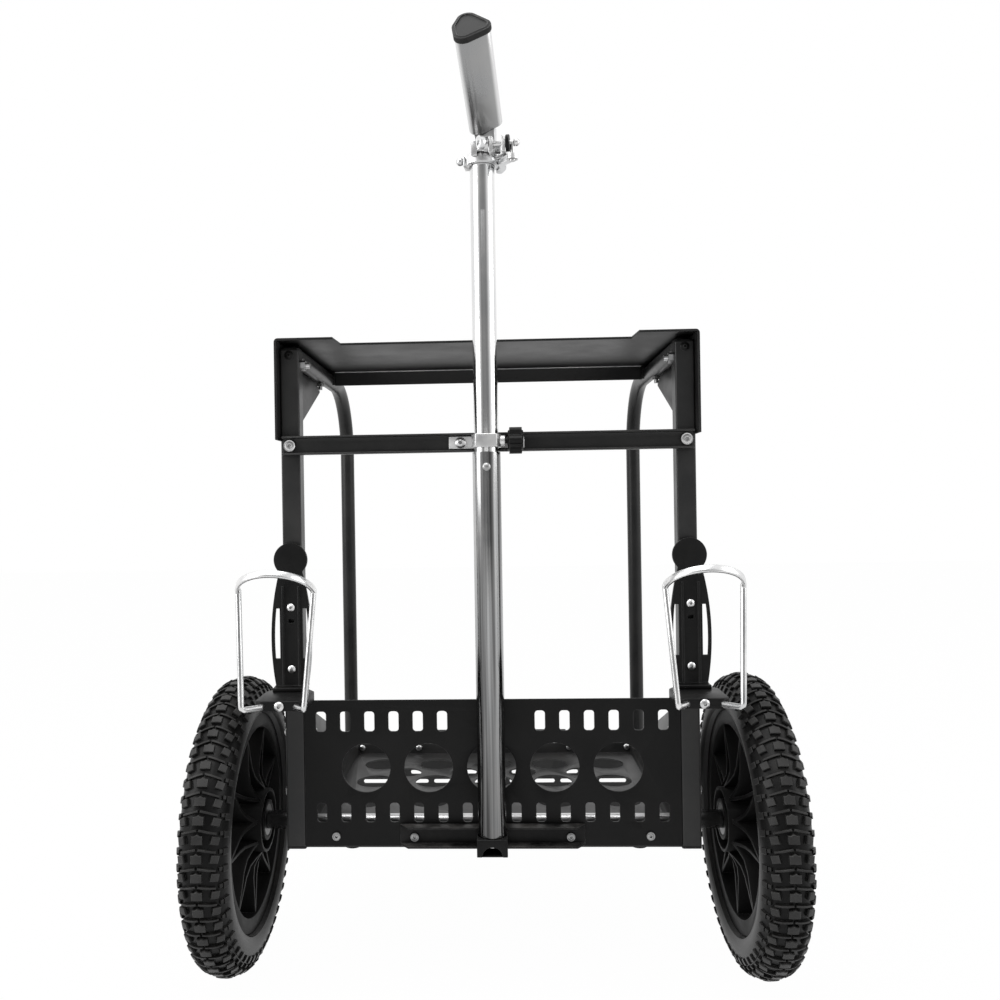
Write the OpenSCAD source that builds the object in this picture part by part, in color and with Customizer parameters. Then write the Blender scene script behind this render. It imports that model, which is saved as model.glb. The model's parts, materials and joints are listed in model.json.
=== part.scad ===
// Two-wheeled golf bag cart with a seat pan, a perforated load tray,
// two bottle cages and a telescoping pull pole with a tilting grip.
// Millimetres, +Z up. The user stands on the -Y side. X = 0 is the middle of the cart.

/* [Wheels] */
// Outside diameter of the tyre
tyre_d = 307; // [295:1:320]
// Width of the tyre
tyre_w = 52; // [48:1:54]
// Distance between the middles of the two tyres
wheel_track = 544; // [540:1:560]
// Height of the tyre above the rim flange
tyre_h = 40.5; // [38.5:0.5:43]
// Height of the tread's blocks above the casing
tread_h = 3.5; // [3:0.1:4]
// Number of times that the tread repeats round a tyre
tread_pitches = 56; // [50:1:58]
// Width of the rim over its flanges
rim_w = 34; // [31:1:36]
// Width of the flat ring on the rim's face
rim_face_w = 15; // [12:0.5:18]
// Number of spoke pairs in a wheel
spoke_pairs = 9; // [7:1:10]
// Thickness of one spoke
spoke_t = 3.4; // [2.8:0.1:4]
// Diameter of the hub shell
hub_d = 66; // [62:1:70]
// Length of the hub inboard of the tyre's middle
hub_in = 29; // [27:1:30]
// Length of the hub outboard of the tyre's middle
hub_out = 17; // [16:1:19]

/* [Axle] */
// Diameter of the axle
axle_d = 12; // [11:0.5:13]
// Outside diameter of a wheel bearing
bearing_d = 32; // [30:1:34]
// Width of a wheel bearing
bearing_w = 10; // [9:0.5:11]
// Outside diameter of the spacer tube beside the wheel
spacer_d = 19; // [17:0.5:21]

/* [Posts] */
// Distance between the middles of the two rear posts
post_gap = 411; // [405:1:415]
// Side of the square post tube
post_w = 20; // [19:0.5:21]
// Wall of the post tube
post_wall = 1.8; // [1.5:0.1:2.2]
// Height of the posts' lower ends above the ground
post_z0 = 137; // [134:1:140]
// Length of a post
post_len = 519; // [500:1:540]
// Distance from the axle's middle forward to the posts' rear faces
post_setback = 33; // [31:0.5:36]

/* [Sheet metal] */
// Thickness of the tray, the panels and the brackets
sheet_t = 2; // [1.5:0.1:2.4]
// Height of the rear panel
panel_h = 152.4; // [148:0.1:158]
// Spacing of the slots in the rear panel
slot_pitch = 25.4; // [24:0.1:26]
// Diameter of the round holes in the rear panel
circle_d = 50.8; // [46:0.1:54]
// Spacing of the round holes in the rear panel
circle_pitch = 65.5; // [62:0.5:68]
// Gap between the front panel and the front legs
tray_gap = 0.5; // [0.5:0.5:3]
// Diameter of the large holes in the tray floor
floor_hole_d = 48; // [44:1:50]
// Spacing of the large holes in the tray floor
floor_pitch = 76; // [74:0.5:78]
// Height of the lower edge of the front panel above the ground
front_panel_z0 = 45; // [40:1:60]

/* [Crossbar] */
// Height of the crossbar's middle above the ground
crossbar_z = 556; // [540:1:565]
// Height of the crossbar channel
crossbar_h = 19.5; // [18:0.5:21]
// Depth of the crossbar channel
crossbar_depth = 11; // [10:0.5:12]

/* [Seat pan] */
// Thickness of the seat pan sheet
pan_t = 2.5; // [2:0.1:3]
// Distance that the pan reaches in front of the axle
pan_reach = 182; // [170:1:200]
// Distance that the pan reaches behind the posts' rear faces
pan_overhang = 15; // [12:0.5:18]
// Depth of the side plates below the top of the pan
side_drop = 105; // [95:1:115]
// Depth of the flange across the front of the pan
flange_drop = 20; // [16:1:24]

/* [Legs] */
// Diameter of the bent tube that makes a seat rail and a front leg
leg_d = 19; // [18:0.5:20]
// Wall of the bent tube
leg_wall = 1.6; // [1.2:0.1:2]
// Radius of the bend to the tube's middle
leg_bend_r = 90; // [80:1:100]
// Distance from the axle's middle to the front legs' middle
leg_reach = 330; // [326:0.5:336]
// Height of the seat rails' middles below the posts' tops
rail_drop = 1.5; // [0:0.5:3]
// Height of the rubber foot below the end of the leg tube
foot_h = 16; // [12:1:22]

/* [Pole] */
// Outside diameter of the lower pole tube
outer_d = 28.4; // [28:0.1:29]
// Wall of the lower pole tube
outer_wall = 1.7; // [1.5:0.1:1.9]
// Length of the lower pole tube
outer_len = 390; // [380:1:391]
// Wall of the upper pole tube
inner_wall = 2; // [1.6:0.1:2.2]
// Length of the upper pole tube
inner_len = 400; // [385:1:402]
// Height of the top of the upper pole tube above the ground
pole_top = 840; // [838:1:848]
// Distance that the upper tube slides down
pole_travel = 255; // [230:1:257]
// Distance of the pole's middle behind the axle's middle
pole_setback = 58; // [57.5:0.1:59]

/* [Grip] */
// Angle of the grip from upright
grip_tilt = 57; // [50:1:62]
// Turn of the grip about the pole towards the left
grip_turn = 7.5; // [5:0.5:10]
// Length of the grip tube
grip_len = 95; // [88:1:96]
// Width of the grip tube
grip_w = 35; // [33:0.5:36]
// Height of the grip's lower end above its hinge
grip_rise = 26.5; // [25:0.5:28]

/* [Bottle cages] */
// Width of the cage backbone at its belly
cage_w = 42; // [38:1:45]
// Height of the cage shelf's underside above the ground
shelf_z = 293; // [291:1:300]
// Thickness of the cage shelf
shelf_t = 10; // [9:0.5:11]
// Radius of the bottle that the hoop goes round
hoop_r = 37; // [35:0.5:39]
// Diameter of the hoop rod
rod_d = 5.7; // [5:0.1:6.2]
// Spacing of the two cage screws
cage_screw_gap = 64; // [60:0.5:66]

/* [Hidden] */
$fn = 64;

// Clearances
fit = 0.05;          // running fit of a shaft in its bore, on the radius
slide = 0.1;         // sliding fit between the two pole tubes, on the radius
slip = 0.2;          // easy gap round a fastener
seat_gap = 0.3;      // gap where a round face rests on another piece
cut = 1;             // how far a cutting shape runs past a face

// Colours
BLACK = [0.09, 0.09, 0.1];
PLASTIC = [0.06, 0.06, 0.06];
RUBBER = [0.16, 0.16, 0.16];
STEEL = [0.75, 0.76, 0.78];
ALLOY = [0.82, 0.83, 0.85];

// Places of the main pieces, from the axle and the ground
axle_z = tyre_d / 2;
wheel_x = wheel_track / 2;
post_x = post_gap / 2;
post_rear = -post_setback;
post_y = post_rear + post_w / 2;
post_front = post_rear + post_w;
post_in = post_x - post_w / 2;
post_out = post_x + post_w / 2;
post_top = post_z0 + post_len;
foot_wall = 2.5;
foot_front = leg_reach + leg_d / 2 + foot_wall;
// The front panel stands on the tray's front face, just behind the legs
tray_reach = leg_reach - leg_d / 2 - tray_gap - sheet_t;
// The footprint runs from the tyres' rear edge to the feet, and its middle is the origin
origin_y = (foot_front - tyre_d / 2) / 2;

module from_axle() translate([0, -origin_y, 0]) children();
module rod_x(r, h) rotate([0, 90, 0]) cylinder(r = r, h = h);
module rod_y(r, h) rotate([-90, 0, 0]) cylinder(r = r, h = h);
module hex_x(across, h) rotate([0, 90, 0]) cylinder(r = across / sqrt(3), h = h, $fn = 6);
module hex_y(across, h) rotate([-90, 0, 0]) cylinder(r = across / sqrt(3), h = h, $fn = 6);
module box(lo, hi) translate(lo) cube(hi - lo);
module tube(r, wall, h) difference() {
    cylinder(r = r, h = h);
    translate([0, 0, -cut]) cylinder(r = r - wall, h = h + 2 * cut);
}
// Flat shapes
module round_rect(w, h, r) {
    square([w - 2 * r, h], center = true);
    square([w, h - 2 * r], center = true);
    for (x = [-1, 1], y = [-1, 1]) translate([x * (w / 2 - r), y * (h / 2 - r)]) circle(r);
}
module ring_2d(r_out, r_in) difference() {
    circle(r_out, $fn = 128);
    circle(r_in, $fn = 128);
}
// Domed screw with its head's flat face on the XY plane and its shank going down
module button_screw(head_r, head_h, shank_r, shank_l, socket_r = 2) {
    difference() {
        intersection() {
            cylinder(r = head_r, h = head_h);
            translate([0, 0, head_h - head_r * 1.45]) sphere(head_r * 1.45, $fn = 64);
        }
        translate([0, 0, head_h - 1.6]) cylinder(r = socket_r, h = 2, $fn = 6);
    }
    translate([0, 0, -shank_l]) cylinder(r = shank_r, h = shank_l);
}
// Sunk screw with its flat top on the XY plane
module sunk_screw(head_r, head_h, shank_r, shank_l, socket_r) {
    difference() {
        translate([0, 0, -head_h]) cylinder(r1 = shank_r, r2 = head_r, h = head_h);
        translate([0, 0, -head_h + 0.6]) cylinder(r = socket_r, h = head_h, $fn = 6);
    }
    translate([0, 0, -shank_l]) cylinder(r = shank_r, h = shank_l - head_h + 0.6);
}

// ---------- Wheels ----------
flange_r = tyre_d / 2 - tyre_h;
rim_open_r = flange_r - rim_face_w;
bead_r = flange_r - 7;
flange_t = 2.5;
hub_r = hub_d / 2;
hub_wall = 3;
boss_wall = 5;
bearing_r = bearing_d / 2;
axle_r = axle_d / 2;
side_lug_h = 2;    // room for the tread's side lugs within the tyre's width
casing_r = tyre_w / 2 - side_lug_h;
casing_mid_r = axle_z - tread_h - casing_r;
casing_wall = 3;
void_r = casing_r - casing_wall;
bead_half = rim_w / 2 - flange_t - slip;
bead_t = 3.8;
tube_lift = 4;
tube_r = void_r - tube_lift - 0.7;
tube_mid_r = casing_mid_r + tube_lift;
tube_wall = 2;
// One pitch of the tread is a centre block and two shoulder blocks. Each has a length round the
// wheel and a width across the crown, and its place round the wheel and its tip are angles
crown_turn = 30;
block_sink = 2;
block_h = tread_h - 0.1;
centre_block = [8.4, 13];
centre_place = -0.6;
shoulder_block = [8, 7.6];
shoulder_place = -1;
shoulder_tip = 37;
shoulder_lean = 13;
spoke_start = -114;   // angle of the first pair's foot, from straight ahead
spoke_shoulder_r = 48;
spoke_waist_r = 60;
valve_lean = 47;      // from straight up towards the rear
valve_r = 3;
valve_len = 26;

// Wheel frame: local z points outboard along the axle
module at_wheel(side) from_axle()
    translate([side * wheel_x, 0, axle_z]) rotate([0, side * 90, 0]) children();
module bar_2d(a, b, w) translate(a) rotate(atan2(b[1] - a[1], b[0] - a[0]))
    translate([-cut, -w / 2]) square([norm(b - a) + 2 * cut, w]);
// Each hub point carries two spokes, which meet their neighbours' spokes at the rim
module spokes_2d() intersection() {
    ring_2d(rim_open_r + 1, hub_r - 1);
    for (i = [0:spoke_pairs - 1], s = [-1, 1]) rotate(i * 360 / spoke_pairs)
        bar_2d([hub_r, 0], rim_open_r * [cos(s * 180 / spoke_pairs), sin(s * 180 / spoke_pairs)], spoke_t);
}
// The spokes' edges swoop down from the hub to a flat waist just inside the rim's width
module spoke_depth_2d() polygon([
    [hub_r - 2, -hub_in + 4], [hub_r, -hub_in + 4], [hub_r + 7, -hub_in + 9],
    [spoke_shoulder_r, -rim_w / 2 + 1],
    [spoke_waist_r, -rim_w / 2 + 2.5], [rim_open_r + 2, -rim_w / 2 + 2],
    [rim_open_r + 2, rim_w / 2 - 2], [spoke_waist_r, rim_w / 2 - 3], [hub_r - 2, rim_w / 2 - 2]]);
module valve_line(side) rotate([0, 0, side * (valve_lean - 90) - 90]) rotate([0, 90, 0]) children();
module wheel_rim(side) color(PLASTIC) at_wheel(side) difference() {
    union() {
        rotate_extrude($fn = 128) polygon([
            [rim_open_r, -rim_w / 2], [flange_r, -rim_w / 2], [flange_r, -rim_w / 2 + flange_t],
            [bead_r, -rim_w / 2 + flange_t], [bead_r, rim_w / 2 - flange_t],
            [flange_r, rim_w / 2 - flange_t], [flange_r, rim_w / 2], [rim_open_r, rim_w / 2]]);
        intersection() {
            rotate([0, 0, 90 + side * spoke_start]) translate([0, 0, -hub_in])
                linear_extrude(2 * hub_in) spokes_2d();
            rotate_extrude($fn = 128) spoke_depth_2d();
        }
        translate([0, 0, -hub_in]) tube(hub_r, hub_wall, hub_in + hub_out);
        translate([0, 0, -hub_wall]) cylinder(r = hub_r - 1, h = 2 * hub_wall);
        translate([0, 0, -hub_in]) cylinder(r = bearing_r + boss_wall, h = hub_in + hub_out);
    }
    translate([0, 0, -hub_in - cut]) cylinder(r = axle_r + 2, h = hub_in + hub_out + 2 * cut);
    translate([0, 0, -hub_in - cut]) cylinder(r = bearing_r + fit, h = cut + seat_gap + bearing_w);
    translate([0, 0, hub_out - seat_gap - bearing_w])
        cylinder(r = bearing_r + fit, h = cut + seat_gap + bearing_w);
    valve_line(side) cylinder(r = valve_r + slip, h = flange_r);
}
// The casing's outline has flats under the tread and a round sidewall. The beads sit between the
// rim's flanges and the sidewalls bulge out over them
module casing_outline() intersection_for(i = [-2:2]) intersection() {
    circle(casing_r, $fn = 96);
    rotate(i * crown_turn) translate([casing_r * (cos(crown_turn / 2) - 2), -casing_r])
        square(2 * casing_r);
}
module casing_2d() difference() {
    union() {
        translate([casing_mid_r, 0]) casing_outline();
        translate([bead_r + slip, -bead_half]) square([flange_r + bead_t - bead_r, 2 * bead_half]);
    }
    intersection() {
        translate([casing_mid_r, 0]) circle(void_r, $fn = 96);
        translate([flange_r + bead_t, -tyre_w]) square(2 * tyre_w);
    }
    translate([0, bead_t - bead_half]) square([flange_r + bead_t + cut, 2 * (bead_half - bead_t)]);
    translate([0, -tyre_w]) square([bead_r + slip, 2 * tyre_w]);
    for (s = [0, 1]) mirror([0, s]) translate([0, bead_half]) square([flange_r + slip, tyre_w]);
}
module tread_block(place, tip, lean, size)
    rotate([0, 0, place]) translate([casing_mid_r, 0, 0]) rotate([0, tip, 0]) rotate([lean, 0, 0])
        translate([casing_r - block_sink, -size[0] / 2, -size[1] / 2])
            cube([block_h + block_sink, size[0], size[1]]);
module tread_pitch() {
    tread_block(centre_place, 0, 0, centre_block);
    for (s = [-1, 1]) tread_block(shoulder_place, s * shoulder_tip, s * shoulder_lean, shoulder_block);
}
module tyre(side) color(RUBBER) at_wheel(side) {
    rotate_extrude($fn = 128) casing_2d();
    for (i = [0:tread_pitches - 1]) rotate([0, 0, i * 360 / tread_pitches]) tread_pitch();
}
module inner_tube(side) color(RUBBER) at_wheel(side) {
    rotate_extrude($fn = 128) translate([tube_mid_r, 0]) difference() {
        circle(tube_r, $fn = 96);
        circle(tube_r - tube_wall, $fn = 96);
    }
    valve_line(side) translate([0, 0, bead_r - valve_len])
        cylinder(r = valve_r, h = valve_len + tube_mid_r - tube_r - bead_r + tube_wall / 2);
}
module wheel_bearings(side) color(STEEL) at_wheel(side)
    for (z = [-hub_in + seat_gap, hub_out - seat_gap - bearing_w]) translate([0, 0, z])
        tube(bearing_r, bearing_r - axle_r - fit, bearing_w);

// ---------- Axle ----------
axle_washer_t = 2;
axle_nut_t = 8;
axle_nut_across = 19;
hub_out_x = wheel_x + hub_out;
axle_end = hub_out_x + seat_gap + axle_washer_t + axle_nut_t - 3;
module axle() color(STEEL) from_axle() translate([-axle_end, 0, axle_z]) rod_x(axle_r, 2 * axle_end);
module axle_spacers() color(BLACK) from_axle() for (s = [0, 1]) mirror([s, 0, 0])
    translate([post_in, 0, axle_z]) rotate([0, 90, 0])
        tube(spacer_d / 2, spacer_d / 2 - axle_r - fit, wheel_x - hub_in - post_in);
module axle_nuts() color(STEEL) from_axle() for (s = [0, 1]) mirror([s, 0, 0])
    translate([hub_out_x + seat_gap, 0, axle_z]) difference() {
        union() {
            rod_x(axle_nut_across * 0.62, axle_washer_t);
            translate([axle_washer_t, 0, 0]) hex_x(axle_nut_across, axle_nut_t);
        }
        translate([-cut, 0, 0]) rod_x(axle_r + fit, cut + axle_washer_t + axle_nut_t - 2);
    }

// ---------- Posts ----------
post_corner = 2;
cap_t = 1.8;
cap_dome = 3;
end_cap_h = 3;
end_plug_h = 10;
seat_bolt_z = post_top - 14.5;
rail_screw_z = post_top - 4.5;
bolt_r = 3;
screw_r = 2.5;
crossbar_bolt_head_r = 6;
tray_bolt_low = 55;
tray_bolt_high = 118;
tray_bolt_z = [post_z0 + tray_bolt_low, post_z0 + tray_bolt_high];
tray_bolt_y = post_y;
cage_screw_z = shelf_z + shelf_t + 53;
cage_screw_r = 2.4;

module rear_post(side) color(BLACK) from_axle() difference() {
    translate([side * post_x, post_y, post_z0]) linear_extrude(post_len) difference() {
        round_rect(post_w, post_w, post_corner);
        round_rect(post_w - 2 * post_wall, post_w - 2 * post_wall, post_corner - 1);
    }
    translate([side * post_x - post_w, post_y, seat_bolt_z]) rod_x(bolt_r + slip, 2 * post_w);
    for (z = tray_bolt_z) translate([side * post_x - post_w, tray_bolt_y, z])
        rod_x(bolt_r + slip, 2 * post_w);
    translate([side * post_x, post_rear - cut, rail_screw_z]) rod_y(screw_r + slip, post_w + 2 * cut);
    translate([side * post_x, post_rear - cut, crossbar_z]) rod_y(bolt_r + slip, post_w + 2 * cut);
    for (i = [0, 1]) translate([side * post_x, post_rear - cut, cage_screw_z + (i - 0.5) * cage_screw_gap])
        rod_y(cage_screw_r + slip, post_wall + 2 * cut);
}
module post_top_caps() color(PLASTIC) from_axle() for (s = [-1, 1])
    translate([s * post_x, post_y, post_top]) {
        intersection() {
            linear_extrude(cap_t + cap_dome) round_rect(post_w, post_w, post_corner);
            translate([0, 0, cap_t + cap_dome - 2 * post_w]) sphere(2 * post_w, $fn = 96);
        }
    }
module post_end_caps() color(RUBBER) from_axle() for (s = [-1, 1])
    translate([s * post_x, post_y, post_z0 - end_cap_h]) {
        linear_extrude(end_cap_h) round_rect(post_w, post_w, post_corner);
        translate([0, 0, end_cap_h]) linear_extrude(end_plug_h)
            round_rect(post_w - 2 * post_wall - 2 * slip, post_w - 2 * post_wall - 2 * slip, 1);
    }

// ---------- Crossbar ----------
crossbar_half = post_x + 7;
web_rear = post_rear - sheet_t;
crossbar_rear = post_rear - crossbar_depth;
module crossbar() color(BLACK) from_axle() difference() {
    translate([0, 0, crossbar_z]) difference() {
        box([-crossbar_half, crossbar_rear, -crossbar_h / 2], [crossbar_half, post_rear, crossbar_h / 2]);
        box([-crossbar_half - cut, crossbar_rear - cut, sheet_t - crossbar_h / 2],
            [crossbar_half + cut, web_rear, crossbar_h / 2 - sheet_t]);
    }
    for (x = [-post_x, post_x]) translate([x, web_rear - cut, crossbar_z])
        rod_y(bolt_r + slip, sheet_t + 2 * cut);
    translate([saddle_screw_x, web_rear - cut, crossbar_z]) rod_y(screw_r + slip, sheet_t + 2 * cut);
}
module crossbar_bolts() color(STEEL) from_axle() for (x = [-post_x, post_x]) {
    translate([x, web_rear, crossbar_z]) rotate([90, 0, 0])
        button_screw(crossbar_bolt_head_r, 3.6, bolt_r, post_w + sheet_t + 7, 2.3);
    translate([x, post_front, crossbar_z]) difference() {
        hex_y(10, 5);
        translate([0, -cut, 0]) rod_y(bolt_r + fit, 5 + 2 * cut);
    }
}

// ---------- Seat pan ----------
pan_bend_r = 4;
rail_z = post_top - rail_drop;
pan_under = rail_z + leg_d / 2 + seat_gap;
pan_top = pan_under + pan_t;
pan_half = post_out + pan_t;
pan_rear = post_rear - pan_overhang;
notch_half = 157;
notch_slope = 2.5;
notch_y = post_rear + 21;
side_bottom = pan_top - side_drop;
side_flat_end = post_front + 21;
side_front_h = 28;
rail_bolt_y = pan_reach - 47;
sunk_r = 5;
sunk_h = 2.2;
sunk_drop = 0.1;
flange_half = post_x - leg_d / 2 - seat_gap;
module pan_section() difference() {
    translate([0, pan_top - side_drop / 2]) {
        square([2 * pan_half, side_drop - 2 * pan_bend_r], center = true);
        translate([0, -pan_bend_r]) square([2 * pan_half, side_drop - 2 * pan_bend_r], center = true);
        translate([0, side_drop / 2 - pan_bend_r])
            square([2 * (pan_half - pan_bend_r), 2 * pan_bend_r], center = true);
        for (s = [-1, 1]) translate([s * (pan_half - pan_bend_r), side_drop / 2 - pan_bend_r])
            circle(pan_bend_r);
    }
    translate([0, pan_under - side_drop / 2 - cut])
        square([2 * post_out, side_drop + 2 * cut], center = true);
}
module seat_pan() color(BLACK) from_axle() difference() {
    union() {
        difference() {
            translate([0, pan_reach, 0]) rotate([90, 0, 0])
                linear_extrude(pan_reach - pan_rear) pan_section();
            // the side plates taper up towards the front
            translate([-pan_half - cut, 0, 0]) rotate([90, 0, 90])
                linear_extrude(2 * (pan_half + cut)) polygon([
                [side_flat_end, side_bottom - cut], [side_flat_end, side_bottom],
                [pan_reach + cut, pan_top - side_front_h], [pan_reach + cut, side_bottom - cut]]);
            // the rear edge is set back between the posts
            translate([0, 0, pan_under - cut]) linear_extrude(pan_t + 2 * cut) polygon([
                [-notch_half, pan_rear - cut], [-notch_half + notch_slope, notch_y],
                [notch_half - notch_slope, notch_y], [notch_half, pan_rear - cut]]);
        }
        box([-flange_half, pan_reach - pan_t, pan_top - flange_drop], [flange_half, pan_reach, pan_top]);
    }
    translate([-pan_half - cut, post_y, seat_bolt_z]) rod_x(bolt_r + slip, 2 * pan_half + 2 * cut);
    for (x = [-post_x, post_x]) translate([x, rail_bolt_y, pan_under - cut]) {
        cylinder(r = screw_r + slip, h = pan_t + 2 * cut);
        translate([0, 0, pan_t + cut - sunk_h])
            cylinder(r1 = screw_r + slip, r2 = 2 * sunk_r - screw_r + slip, h = 2 * sunk_h);
    }
}
module seat_through_bolts() color(STEEL) from_axle() for (s = [0, 1]) mirror([s, 0, 0])
    translate([0, post_y, seat_bolt_z]) {
        translate([pan_half, 0, 0]) rotate([0, 90, 0])
            button_screw(5.5, 4, bolt_r, pan_half - post_in + 10, 2);
        translate([post_in - 5.5, 0, 0]) difference() {
            hex_x(10, 5.5);
            translate([-cut, 0, 0]) rod_x(bolt_r + fit, 5.5 + 2 * cut);
        }
    }

// ---------- Legs ----------
leg_r = leg_d / 2;
plug_len = 22;
leg_end_z = foot_h;
foot_grip = 14;
bend_y = leg_reach - leg_bend_r;
bend_z = rail_z - leg_bend_r;
leg_screw_z = front_panel_z0 + 28;
module bent_tube(r) {
    translate([0, post_front - cut, rail_z]) rod_y(r, bend_y - post_front + cut);
    translate([0, bend_y, bend_z]) rotate([90, 0, 90])
        rotate_extrude(angle = 90, $fn = 96) translate([leg_bend_r, 0]) circle(r);
    translate([0, leg_reach, leg_end_z - cut]) cylinder(r = r, h = bend_z - leg_end_z + cut);
}
module leg_tube(side) color(BLACK) from_axle() translate([side * post_x, 0, 0]) difference() {
    intersection() {
        bent_tube(leg_r);
        box([-leg_d, post_front, leg_end_z], [leg_d, leg_reach + leg_d, pan_top]);
    }
    bent_tube(leg_r - leg_wall);
    translate([0, rail_bolt_y, rail_z - leg_d]) cylinder(r = screw_r + slip, h = 2 * leg_d);
    translate([0, leg_reach - leg_d, leg_screw_z]) rod_y(screw_r + slip, 2 * leg_d);
}
module rail_end_plugs() color(PLASTIC) from_axle() for (x = [-post_x, post_x])
    translate([x, post_front, 0]) difference() {
        translate([0, 0, rail_z]) rod_y(leg_r - leg_wall - slip, plug_len);
        translate([0, -cut, rail_screw_z]) rod_y(screw_r + slip, plug_len + 2 * cut);
    }
module rail_end_screws() color(PLASTIC) from_axle() for (x = [-post_x, post_x])
    translate([x, post_rear, rail_screw_z]) rotate([90, 0, 0])
        button_screw(4.8, 2.4, screw_r, post_w + plug_len - 3, 1.6);
module rail_bolts() color(STEEL) from_axle() for (x = [-post_x, post_x]) translate([x, rail_bolt_y, 0]) {
    translate([0, 0, pan_top - sunk_drop])
        sunk_screw(sunk_r - sunk_drop, sunk_h, screw_r, pan_top - rail_z + leg_r + 9, 1.8);
    translate([0, 0, rail_z - leg_r - 5]) difference() {
        cylinder(r = 8 / sqrt(3), h = 5 - seat_gap, $fn = 6);
        translate([0, 0, -cut]) cylinder(r = screw_r + fit, h = 5 + 2 * cut);
    }
}
module leg_feet() color(RUBBER) from_axle() for (x = [-post_x, post_x]) translate([x, leg_reach, 0])
    difference() {
        cylinder(r = leg_r + foot_wall, h = foot_h + foot_grip);
        translate([0, 0, leg_end_z]) cylinder(r = leg_r + fit, h = foot_grip + cut);
    }

// ---------- Load tray and panels ----------
floor_top = post_z0;
floor_under = floor_top - sheet_t;
tray_out = post_in;
tray_in = tray_out - sheet_t;
lip_rear = post_rear + sheet_t;
lip_top = floor_top + 18;
panel_top = post_z0 + panel_h;
tray_side_top = panel_top - 10;
tray_side_front = lip_top - 6;
panel_screw_z = post_z0 + 10.5;
panel_screw_x = 163;
bracket_screw_x = 81;
upper_slot_h = 130;
upper_slot_z = post_z0 + upper_slot_h;
lower_slot_h = 35;
lower_slot_z = post_z0 + lower_slot_h;
circle_h = 81.5;
circle_z = post_z0 + circle_h;
front_screw_x = [107, 188];
front_screw_z = floor_top + 8.5;
row_inset = 54;
floor_rows = [for (i = [2:-1:0]) tray_reach - row_inset - i * floor_pitch];
small_hole_d = 36;
panel_flange = 16;

module rear_panel() color(BLACK) from_axle() difference() {
    union() {
        box([-tray_out, post_rear, post_z0], [tray_out, lip_rear, panel_top]);
        for (s = [0, 1]) mirror([s, 0, 0])
            box([tray_in - sheet_t, post_rear, lip_top + 4],
                [tray_in, post_rear + panel_flange, panel_top - 12]);
    }
    translate([0, lip_rear + cut, 0]) rotate([90, 0, 0]) linear_extrude(sheet_t + 2 * cut) {
        for (i = [2:7], s = [-1, 1]) translate([s * i * slot_pitch, upper_slot_z]) round_rect(10.6, 21, 3.5);
        for (i = [-7:7]) translate([i * slot_pitch, lower_slot_z]) round_rect(10, 20, 3.5);
        for (i = [-2:2]) translate([i * circle_pitch, circle_z]) circle(circle_d / 2);
        for (x = [-panel_screw_x, panel_screw_x, -bracket_screw_x, bracket_screw_x])
            translate([x, panel_screw_z]) circle(screw_r + slip);
    }
    for (z = tray_bolt_z) translate([-post_x, tray_bolt_y, z]) rod_x(bolt_r + slip, 2 * post_x);
}
module panel_screws() color(STEEL) from_axle() for (x = [-panel_screw_x, panel_screw_x])
    translate([x, post_rear, panel_screw_z]) rotate([90, 0, 0]) button_screw(4.2, 2.6, screw_r, 9, 1.6);
module tray_side_2d() polygon([
    [lip_rear, floor_under], [lip_rear, tray_side_top - 12], [lip_rear + 12, tray_side_top],
    [tray_reach - 3, tray_side_front], [tray_reach, tray_side_front - 4], [tray_reach, floor_under]]);
module floor_tray() color(BLACK) from_axle() difference() {
    union() {
        box([-tray_out, lip_rear, floor_under], [tray_out, tray_reach, floor_top]);
        box([-tray_in, lip_rear, floor_under], [tray_in, lip_rear + sheet_t, lip_top]);
        box([-tray_in, tray_reach - sheet_t, floor_under], [tray_in, tray_reach, lip_top - 4]);
        for (s = [0, 1]) mirror([s, 0, 0]) translate([tray_in, 0, 0]) rotate([90, 0, 90])
            linear_extrude(sheet_t) tray_side_2d();
    }
    for (i = [-2:2], y = floor_rows) translate([i * floor_pitch, y, floor_under - cut])
        cylinder(r = floor_hole_d / 2, h = sheet_t + 2 * cut);
    for (i = [-2:1], j = [0, 1])
        translate([(i + 0.5) * floor_pitch, floor_rows[j] + floor_pitch / 2, floor_under - cut])
            cylinder(r = small_hole_d / 2, h = sheet_t + 2 * cut);
    translate([-tray_out - cut, 0, axle_z]) rod_x(axle_r + fit, 2 * tray_out + 2 * cut);
    for (z = tray_bolt_z) translate([-post_x, tray_bolt_y, z]) rod_x(bolt_r + slip, 2 * post_x);
    for (x = [-panel_screw_x, panel_screw_x, -bracket_screw_x, bracket_screw_x])
        translate([x, lip_rear - cut, panel_screw_z]) rod_y(screw_r + slip, sheet_t + 2 * cut);
    for (x = front_screw_x, s = [-1, 1]) translate([s * x, tray_reach - sheet_t - cut, front_screw_z])
        rod_y(screw_r + slip, sheet_t + 2 * cut);
}
module tray_bolts() color(STEEL) from_axle() for (z = tray_bolt_z, s = [0, 1]) mirror([s, 0, 0])
    translate([0, tray_bolt_y, z]) {
        translate([post_out, 0, 0]) rotate([0, 90, 0])
            button_screw(5.5, 3.3, bolt_r, post_w + 2 * sheet_t + 7, 2);
        translate([tray_in - sheet_t - 5, 0, 0]) difference() {
            hex_x(10, 5);
            translate([-cut, 0, 0]) rod_x(bolt_r + fit, 5 + 2 * cut);
        }
    }
front_rear = tray_reach;
front_face = front_rear + sheet_t;
front_side_h = 18;
front_mid_h = 33;
front_side_z = floor_top + front_side_h;
front_mid_z = floor_top + front_mid_h;
front_mid_half = 112;
front_half = post_x + 7;
front_corner = 10;
front_slot_h = 52;
front_slot_z = front_panel_z0 + front_slot_h;
front_slot_w = 28;
front_slot_narrow = 22;
front_slot_t = 5.6;
front_slot_round = 2.6;
front_slot_pitch = 36;
front_slot_rise = 13;
front_side_slot_x = 168;
front_side_slot_w = 38;
front_window = [9, 7];
front_window_x = 87;
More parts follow.
